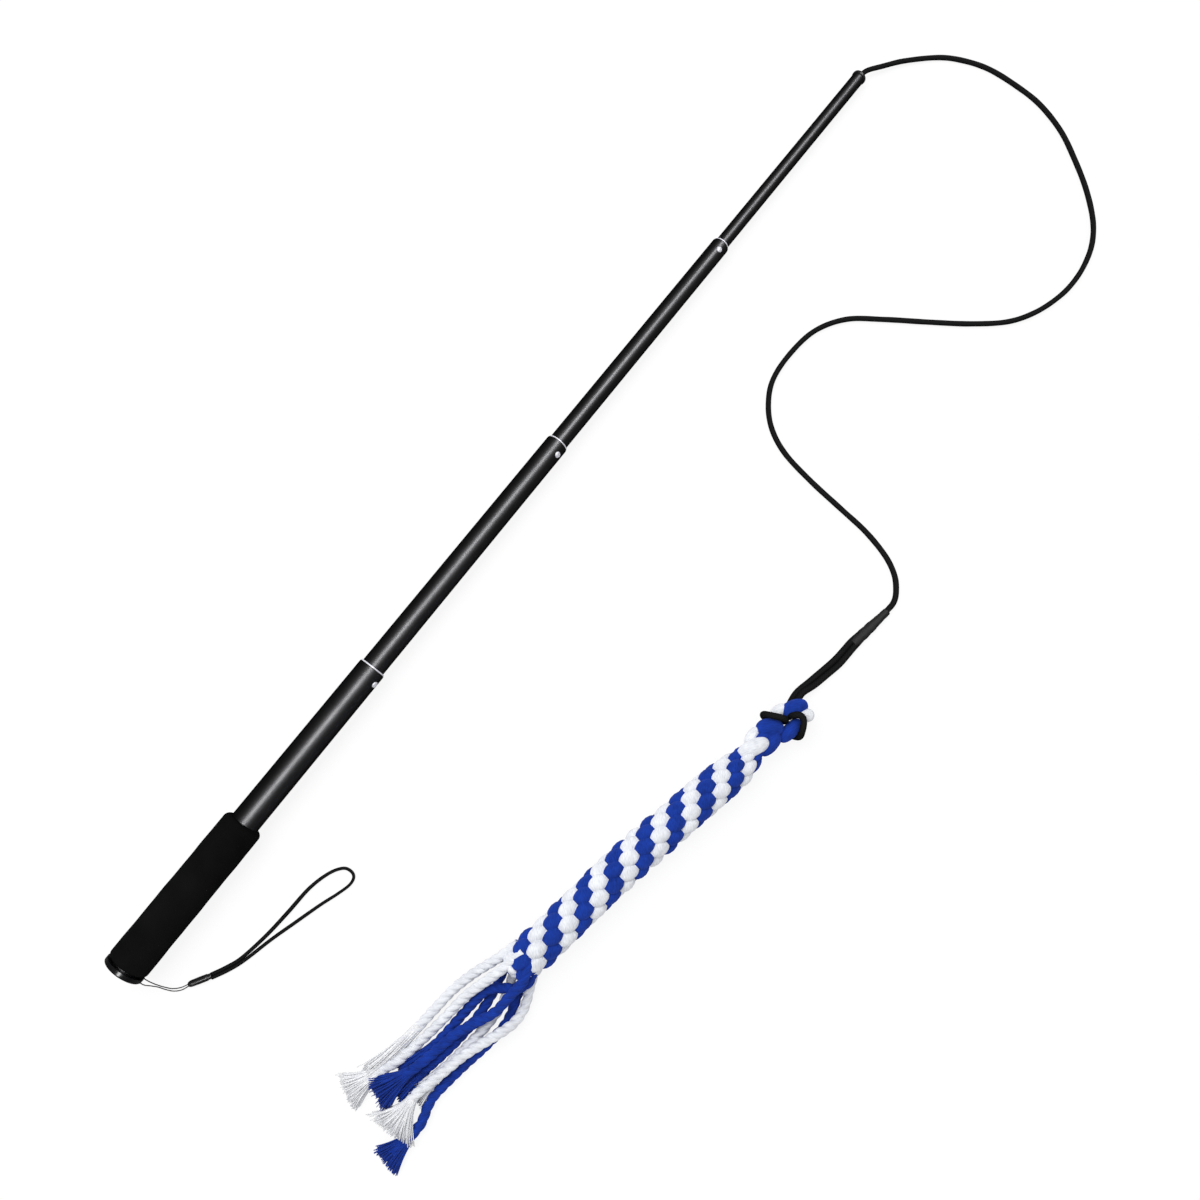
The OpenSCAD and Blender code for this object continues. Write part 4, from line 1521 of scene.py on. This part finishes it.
@dataclass(frozen=True)
class RopeToy:
    """The cotton toy: an eye, a round braid of eight strands, and their loose ends.

    COURSE is the braid's middle line, as shares of its length and of its bow. CORE is the distance along
    and the radius of the strands inside the neck, in millimetres. PLY_START is the turn of the plies from
    one loose strand to the next, in radians.

    Attributes:
        eye: middle of the eye.
        length: from the eye's middle to the braid's end.
        angle: turn of the toy on the floor, in degrees.
        bow: how far the braid bends aside.
        end: place on the floor below the braid's end, in millimetres.
        strand: diameter of a loose strand; not used.
        fray: the frayed ends of the strands.
    """

    eye: Point = (0.4214, -0.2758, -0.001446)
    length: float = 258.5 * MM
    angle: float = 12.49
    bow: float = 2 * MM
    end: Point = (169.0, -219.9, 0.0)
    strand: float = STRAND_WIDTH
    fray: FrayedEnd = FrayedEnd()

    COURSE = (
        (0.0, 0.0), (0.039, -0.60), (0.056, -0.95), (0.070, -1.10), (0.089, -0.90), (0.116, -0.40),
        (0.143, 0.40), (0.162, 0.85), (0.182, 1.00), (0.205, 0.90), (0.240, 0.75), (0.286, 0.50),
        (0.350, 0.05), (0.513, -0.55), (0.620, -0.95), (0.690, -0.80), (0.770, -0.50), (0.845, -0.12),
        (0.960, 0.0), (1.0, 0.0),
    )

    BRAID = LobedBraid(
        LobeLattice(columns=8, pitch=13.6 * MM, width=11.8 * MM),
        ((36, 9), (42, 11), (50, 13), (62, 14.6), (72, 15.3), (244, 15.4), (256, 15.1), (265, 13.8)),
        nose=(4 * MM, 6 * MM), depth=5.2 * MM, turn=11.1, twist=-408.0, sway=-0.6 * MM, shift=54.8 * MM,
    )
    BRAID_STEP = 2 * MM
    BRAID_SEED = 3

    CORE = ((10, 3.6), (16, 5.4), (24, 6.2), (32, 6.4), (38, 6.0), (44, 5.0))
    CORE_SIDES = 32
    CORE_AROUND = 40 * MM

    STRAND_STEP = 0.9 * MM
    STRAND_SIDES = 30
    STRAND_AROUND = 24 * MM
    PLIES = 3
    PLY = 2.4 * MM
    PLY_OFFSET = 1.3 * MM
    PLY_LAY = 20 * MM
    PLY_START = 0.9

    def down(self) -> Array:
        """Direction of the toy's line, from the eye to the loose ends."""
        angle = math.radians(self.angle)
        return np.array([-math.cos(angle), math.sin(angle), 0.0])

    def middle_line(self) -> Array:
        """The braid's middle line from the eye to its end: shares of its length and of its bow.

        Returns:
            Points, level.
        """
        share = np.array(self.COURSE)
        down, aside = self.down(), np.cross(UP, self.down())
        return self.eye + self.length * share[:, :1] * down + self.bow * share[:, 1:] * aside

    def braid(self) -> None:
        """Builds eye, neck and braid as one piece that the floor flattens where it rests."""
        path = even_route(self.middle_line() / MM, self.BRAID_STEP)
        shell = self.BRAID.shell(path, self.BRAID_SEED)
        start, down = np.array(self.eye), self.down()
        aside = np.cross(UP, down)
        under = tuple(pillow.below() for pillow in NECK_PILLOWS)
        for pillow in EYE_PILLOWS + NECK_PILLOWS + under:
            shell.add(pillow.shell(start, down, aside))
        shell.add(self.core(path))
        shell.points[:, 2] = np.maximum(shell.points[:, 2], FLOOR)
        piece = shell.piece("braided_toy", [yarn.finish() for yarn in Yarn], merge=True)
        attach(piece, "toy")
        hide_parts("toy_eye", "toy_braid")

    def core(self, path: Array) -> Shell:
        """The strands inside the neck, as a plain blue cone between the pillows.

        Args:
            path: the braid's middle line.

        Returns:
            The cone.
        """
        run, radius = np.transpose(self.CORE) * MM
        return swept(at_lengths(path, run), round_outline(radius, self.CORE_SIDES), self.CORE_AROUND)

    def strands(self) -> None:
        """Builds the loose strands with their frayed ends."""
        for number, strand in enumerate(STRANDS):
            path = even_route(np.array(strand.route) + self.end, self.STRAND_STEP)
            along = lengths_along(path)
            outline = twisted_outline(
                along, self.PLIES, self.PLY, self.PLY_OFFSET, self.PLY_LAY, self.STRAND_SIDES,
                phase=number * self.PLY_START,
            )
            shell = swept(path, outline, self.STRAND_AROUND)
            rope = shell.piece(strand.name + "_rope", [strand.yarn.finish()])
            tuft = self.fray.shell(strand, path, number).piece(strand.name + "_fray", [strand.yarn.fibres()])
            for piece in (rope, tuft):
                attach(piece, "toy")
            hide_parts(strand.name)


@dataclass(frozen=True)
class WristStrap:
    """The strap on the butt: two tether threads, a moulded ferrule and a cord loop.

    FRONT, BACK and LOOP are the places that the threads and the cord pass, and FERRULE is the ferrule's
    middle line, in millimetres. CORD_SHARES is the cord's width along it, as shares of its diameter.
    FERRULE_STRETCHES are the shares between which its rings lie, with their count.

    Attributes:
        thread: diameter of a tether thread.
        cord: diameter of the strap's cord.
        knot: where the tether passes the cap's hole; not used.
        swing: where the threads start to follow the strap, and where they follow it wholly; not used.
    """

    thread: float = 0.8 * MM
    cord: float = 2.2 * MM
    knot: Point = (0.0024, -0.0130, -0.0023)
    swing: tuple[Point, Point] = ((0.0025, -0.016, -0.003), (0.008, -0.033, -0.0138))

    FRONT = (
        (2.4, -13, -2.3), (3.6, -13, -2.3), (4.3, -13.6, -2.4), (4.4, -15.6, -2.9), (4.4, -18.4, -4.4),
        (4.6, -22.4, -7.6), (5.4, -27, -11.2), (7.4, -32, -13.6), (11.4, -36.2, -14.3), (17.2, -39.4, -14),
    )
    BACK = (
        (2.4, -13, -2.3), (1.2, -13.1, -2.3), (0.8, -13.9, -2.4), (0.8, -15.6, -2.8), (1, -17.6, -4.2),
        (2, -20.2, -6.8), (3.4, -24.2, -10), (4.4, -29, -13), (6.4, -33.6, -14.6), (10.4, -37.6, -14.9),
        (16.8, -40.4, -14.2),
    )
    FERRULE = ((15.6, -39, -14), (30, -48.4, -14))
    LOOP = (
        (29.6, -46.9, -15.2), (40, -52.6, -15.3), (51, -57.1, -15.3), (72, -61, -15.3), (93, -63, -15.3),
        (115, -64.5, -15.3), (131, -69, -15.3), (140, -75, -15.3), (142, -81, -15.3), (140, -85.5, -15.3),
        (134, -86.5, -15.3), (124, -83.5, -15.3), (111, -78.5, -15.3), (90, -71.5, -15.3),
        (72, -65.6, -15.3), (51, -59.8, -15.3), (39.2, -55, -15.3), (28.4, -49, -15.2),
    )

    THREAD_STEP = 0.5 * MM
    THREAD_SIDES = 12
    PLIES = 2
    PLY_SHARE = 0.38
    PLY_OFFSET_SHARE = 0.2
    PLY_LAY = 1.8 * MM

    CORD_STEP = 0.8 * MM
    CORD_SIDES = 16
    CORD_SHARES = ((0, 1.2), (0.3, 1.4), (0.45, 1.1), (0.56, 1.0), (0.7, 1.2), (1, 1.2))

    FERRULE_STRETCHES = ((0, 0.14, 26), (0.14, 0.8, 24), (0.8, 1, 42))
    FERRULE_SIDES = 36
    FERRULE_HALF = (
        (0, 1.0), (0.01, 1.35), (0.035, 1.75), (0.075, 2.1), (0.14, 2.3), (0.5, 2.45), (0.8, 2.4),
        (0.82, 2.3), (0.835, 2.05), (0.96, 2.05), (0.985, 1.9), (1, 1.55),
    )

    def build(self) -> None:
        """Builds ferrule, threads and loop."""
        ferrule = self.ferrule()
        for name, route in (("tether_front", self.FRONT), ("tether_back", self.BACK)):
            path = even_route(route, self.THREAD_STEP)
            along = lengths_along(path)
            outline = twisted_outline(
                along, self.PLIES, self.thread * self.PLY_SHARE, self.thread * self.PLY_OFFSET_SHARE,
                self.PLY_LAY, self.THREAD_SIDES,
            )
            thread = swept(path, outline).piece(name, [THREAD_WEAVE])
            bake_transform(thread)
            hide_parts("strap_tether")
        path = even_route(self.LOOP, self.CORD_STEP)
        along = lengths_along(path)
        radius = self.cord / 2 * np.interp(along / along[-1], *np.transpose(self.CORD_SHARES))
        loop = swept(path, round_outline(radius, self.CORD_SIDES)).piece("strap_cord", [STRAP_WEAVE])
        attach(loop, "wrist_strap")
        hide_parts("strap_loop")

    def ferrule(self) -> bpy.types.Object:
        """Builds the ferrule: a rounded nose, a body that swells a little, and a stepped collar.

        Returns:
            The ferrule.
        """
        start, stop = np.array(self.FERRULE) * MM
        share = np.unique(np.concatenate([np.linspace(*stretch) for stretch in self.FERRULE_STRETCHES]))
        path = start + (stop - start) * share[:, None]
        outline = round_outline(profile_at(share, self.FERRULE_HALF), self.FERRULE_SIDES)
        piece = swept(path, outline).piece("strap_ferrule_shell", [FERRULE_PLASTIC])
        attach(piece, "wrist_strap")
        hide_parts("strap_ferrule")
        return piece


@dataclass(frozen=True)
class FoamGrip:
    """The foam sleeve on the handle.

    GIVE is how far its body swells and sinks, in the waves of GIVE_WAVES, and ROOM is the gap to the tube.

    Attributes:
        back: its end at the cap.
        front: its end towards the tip.
        radius: its outside.
        bore: the tube in it.
        back_edge: rounding of its end at the cap.
        front_edge: rounding of its other end.
    """

    back: float = 5.2 * MM
    front: float = 124.5 * MM
    radius: float = 15.25 * MM
    bore: float = 11.0 * MM
    back_edge: float = 2.0 * MM
    front_edge: float = 4.2 * MM

    EDGE_STEPS = 12
    BODY_STEPS = 60
    SIDES = 112
    GIVE = 0.08 * MM
    GIVE_WAVES = ((1.0, 140.0, 0.0), (0.6, 331.0, 1.0))
    ROOM = 0.05 * MM

    def build(self) -> None:
        """Builds the skin, turned round the pole: an open bore, quarter-round shoulders and a soft body."""
        quarter = np.linspace(0, QUARTER_TURN, self.EDGE_STEPS)
        body = np.linspace(self.back + self.back_edge, self.front - self.front_edge, self.BODY_STEPS)[1:-1]
        stations = np.concatenate([
            [self.back], self.back + self.back_edge * (1 - np.cos(quarter)), body,
            self.front - self.front_edge * (1 - np.sin(quarter)), [self.front],
        ])
        inside = self.bore + self.ROOM
        radii = np.concatenate([
            [inside], self.radius - self.back_edge * (1 - np.sin(quarter)),
            self.radius + self.GIVE * waves_along(body, self.GIVE_WAVES),
            self.radius - self.front_edge * (1 - np.cos(quarter)), [inside],
        ])
        path = stations[:, None] * POLE_AXIS
        frames = fixed_frames(path, POLE_AXIS, POLE_SIDE, POLE_TOP)
        shell = swept(path, round_outline(radii, self.SIDES), frames=frames, closed=True)
        piece = shell.piece("foam_grip_skin", [GRIP_FOAM])
        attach(piece, "handle")
        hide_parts("foam_grip")


@dataclass(frozen=True)
class LockButton:
    """A spring button in the mouth of a tube.

    SEAT is the gap between button and spring, and EDGE_ANGLE is the least angle of a sharp edge.

    Attributes:
        name: first part of its names.
        station: its place along the pole.
        turn: its angle from the top towards -Y, in degrees.
        foot: distance of its foot from the pole's axis.
        face: radius of the tube that it stands out of.
        back: distance of the spring's back leg from the pole's axis.
        bend: length of the spring's legs behind the button.
    """

    name: str
    station: float
    turn: float
    foot: float
    face: float
    back: float
    bend: float

    RADIUS = 2.6 * MM
    RISE = 1.2 * MM
    SHOULDER = 0.35 * MM
    COLLAR = 3.4 * MM
    COLLAR_RISE = 0.5 * MM
    TRAVEL = 2.1 * MM
    SPRING_THICK = 0.4 * MM
    SPRING_WIDE = 3.6 * MM
    SEAT = 0.02 * MM
    BEND_STEPS = 25
    EDGE_ANGLE = math.radians(40)
    DOME_STEPS = 16
    DOME_TIP = 0.02 * MM
    SIDES = 40

    @property
    def out(self) -> Array:
        """The way that the button points."""
        angle = math.radians(self.turn)
        return math.cos(angle) * POLE_TOP - math.sin(angle) * POLE_SIDE

    def spring(self) -> None:
        """Builds the bent steel strip that carries the button and gives as the button is pressed."""
        half = self.SPRING_THICK / 2
        front, back = self.foot - self.SEAT - half, half - self.back
        middle, reach = (front + back) / 2, (front - back) / 2
        turn = np.linspace(0, math.pi, self.BEND_STEPS)
        along = np.concatenate([[self.COLLAR, 0], -self.bend - reach * np.sin(turn), [0, self.COLLAR]])
        high = np.concatenate([[front, front], middle + reach * np.cos(turn), [back, back]])
        path = (self.station + along)[:, None] * POLE_AXIS + high[:, None] * self.out
        ways = unit(np.gradient(path, axis=0))
        beside = np.broadcast_to(np.cross(self.out, POLE_AXIS), path.shape)
        edge = SQUARE * [self.SPRING_WIDE / 2, half]
        outline = np.broadcast_to(edge, (len(path), *edge.shape))
        shell = swept(path, outline, frames=(ways, beside, np.cross(ways, beside)))
        piece = shell.piece(self.name + "_spring_strip", [SPRING_METAL])
        piece.data.set_sharp_from_angle(angle=self.EDGE_ANGLE)
        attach(piece, self.name + "_section")
        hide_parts(self.name + "_lock_spring")
        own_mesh(piece)

    def build(self) -> None:
        """Builds the button: a collar on the spring, a stem, and a dome of quarter-round profile."""
        out = self.out
        quarter = np.linspace(0, QUARTER_TURN, self.DOME_STEPS)
        collar, top = self.foot + self.COLLAR_RISE, self.face - self.SHOULDER
        dome = top + (self.RISE + self.SHOULDER) * np.sin(quarter)
        high = np.concatenate([[self.foot, collar, collar], dome])
        wide = np.concatenate([[self.COLLAR, self.COLLAR, self.RADIUS], self.RADIUS * np.cos(quarter)])
        wide[-1] = self.DOME_TIP
        path = self.station * POLE_AXIS + high[:, None] * out
        frames = fixed_frames(path, out, POLE_AXIS, np.cross(out, POLE_AXIS))
        shell = swept(path, round_outline(wide, self.SIDES), frames=frames)
        piece = shell.piece(self.name + "_button_dome", [BUTTON_METAL])
        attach(piece, self.name + "_button")
        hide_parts(self.name + "_lock_button")
        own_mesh(piece)


BUTTONS = (
    LockButton("second", 257.8 * MM, 77, 7.52 * MM, 11.0 * MM, 8.51 * MM, 4.98 * MM),
    LockButton("third", 490.6 * MM, 58, 5.86 * MM, 9.5 * MM, 6.97 * MM, 5.98 * MM),
    LockButton("tip", 729.8 * MM, 28, 3.60 * MM, 8.0 * MM, 4.99 * MM, 8.80 * MM),
)

CARRIED = {
    CAP_PLASTIC: ("end_cap",),
    TUBE_LACQUER: ("handle_tube", "second_tube", "third_tube", "tip_tube"),
    RING_METAL: ("handle_mouth_ring", "second_mouth_ring", "third_mouth_ring"),
    BUSH_PLASTIC: ("second_foot_bush", "third_foot_bush", "tip_foot_bush"),
    TIP_PLASTIC: ("tip_cap",),
    CORD_WEAVE: ("cord_knot",),
}


def dress_frame() -> None:
    """Gives each carried-over part its finish."""
    for finish, names in CARRIED.items():
        for name in names:
            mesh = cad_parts[name].data
            mesh.materials.clear()
            mesh.materials.append(finish.material())
            LOG.info("%s: %s", name, finish.name)


def main() -> None:
    """Builds the scene in order."""
    logging.basicConfig(level=logging.INFO, format="%(message)s")
    studio = Studio()
    studio.camera()
    LureCord().build()
    toy = RopeToy()
    toy.braid()
    toy.strands()
    WristStrap().build()
    FoamGrip().build()
    for button in BUTTONS:
        button.build()
        button.spring()
    dress_frame()
    studio.floor(FLOOR)
    studio.lights()


if __name__ == "__main__":
    main()
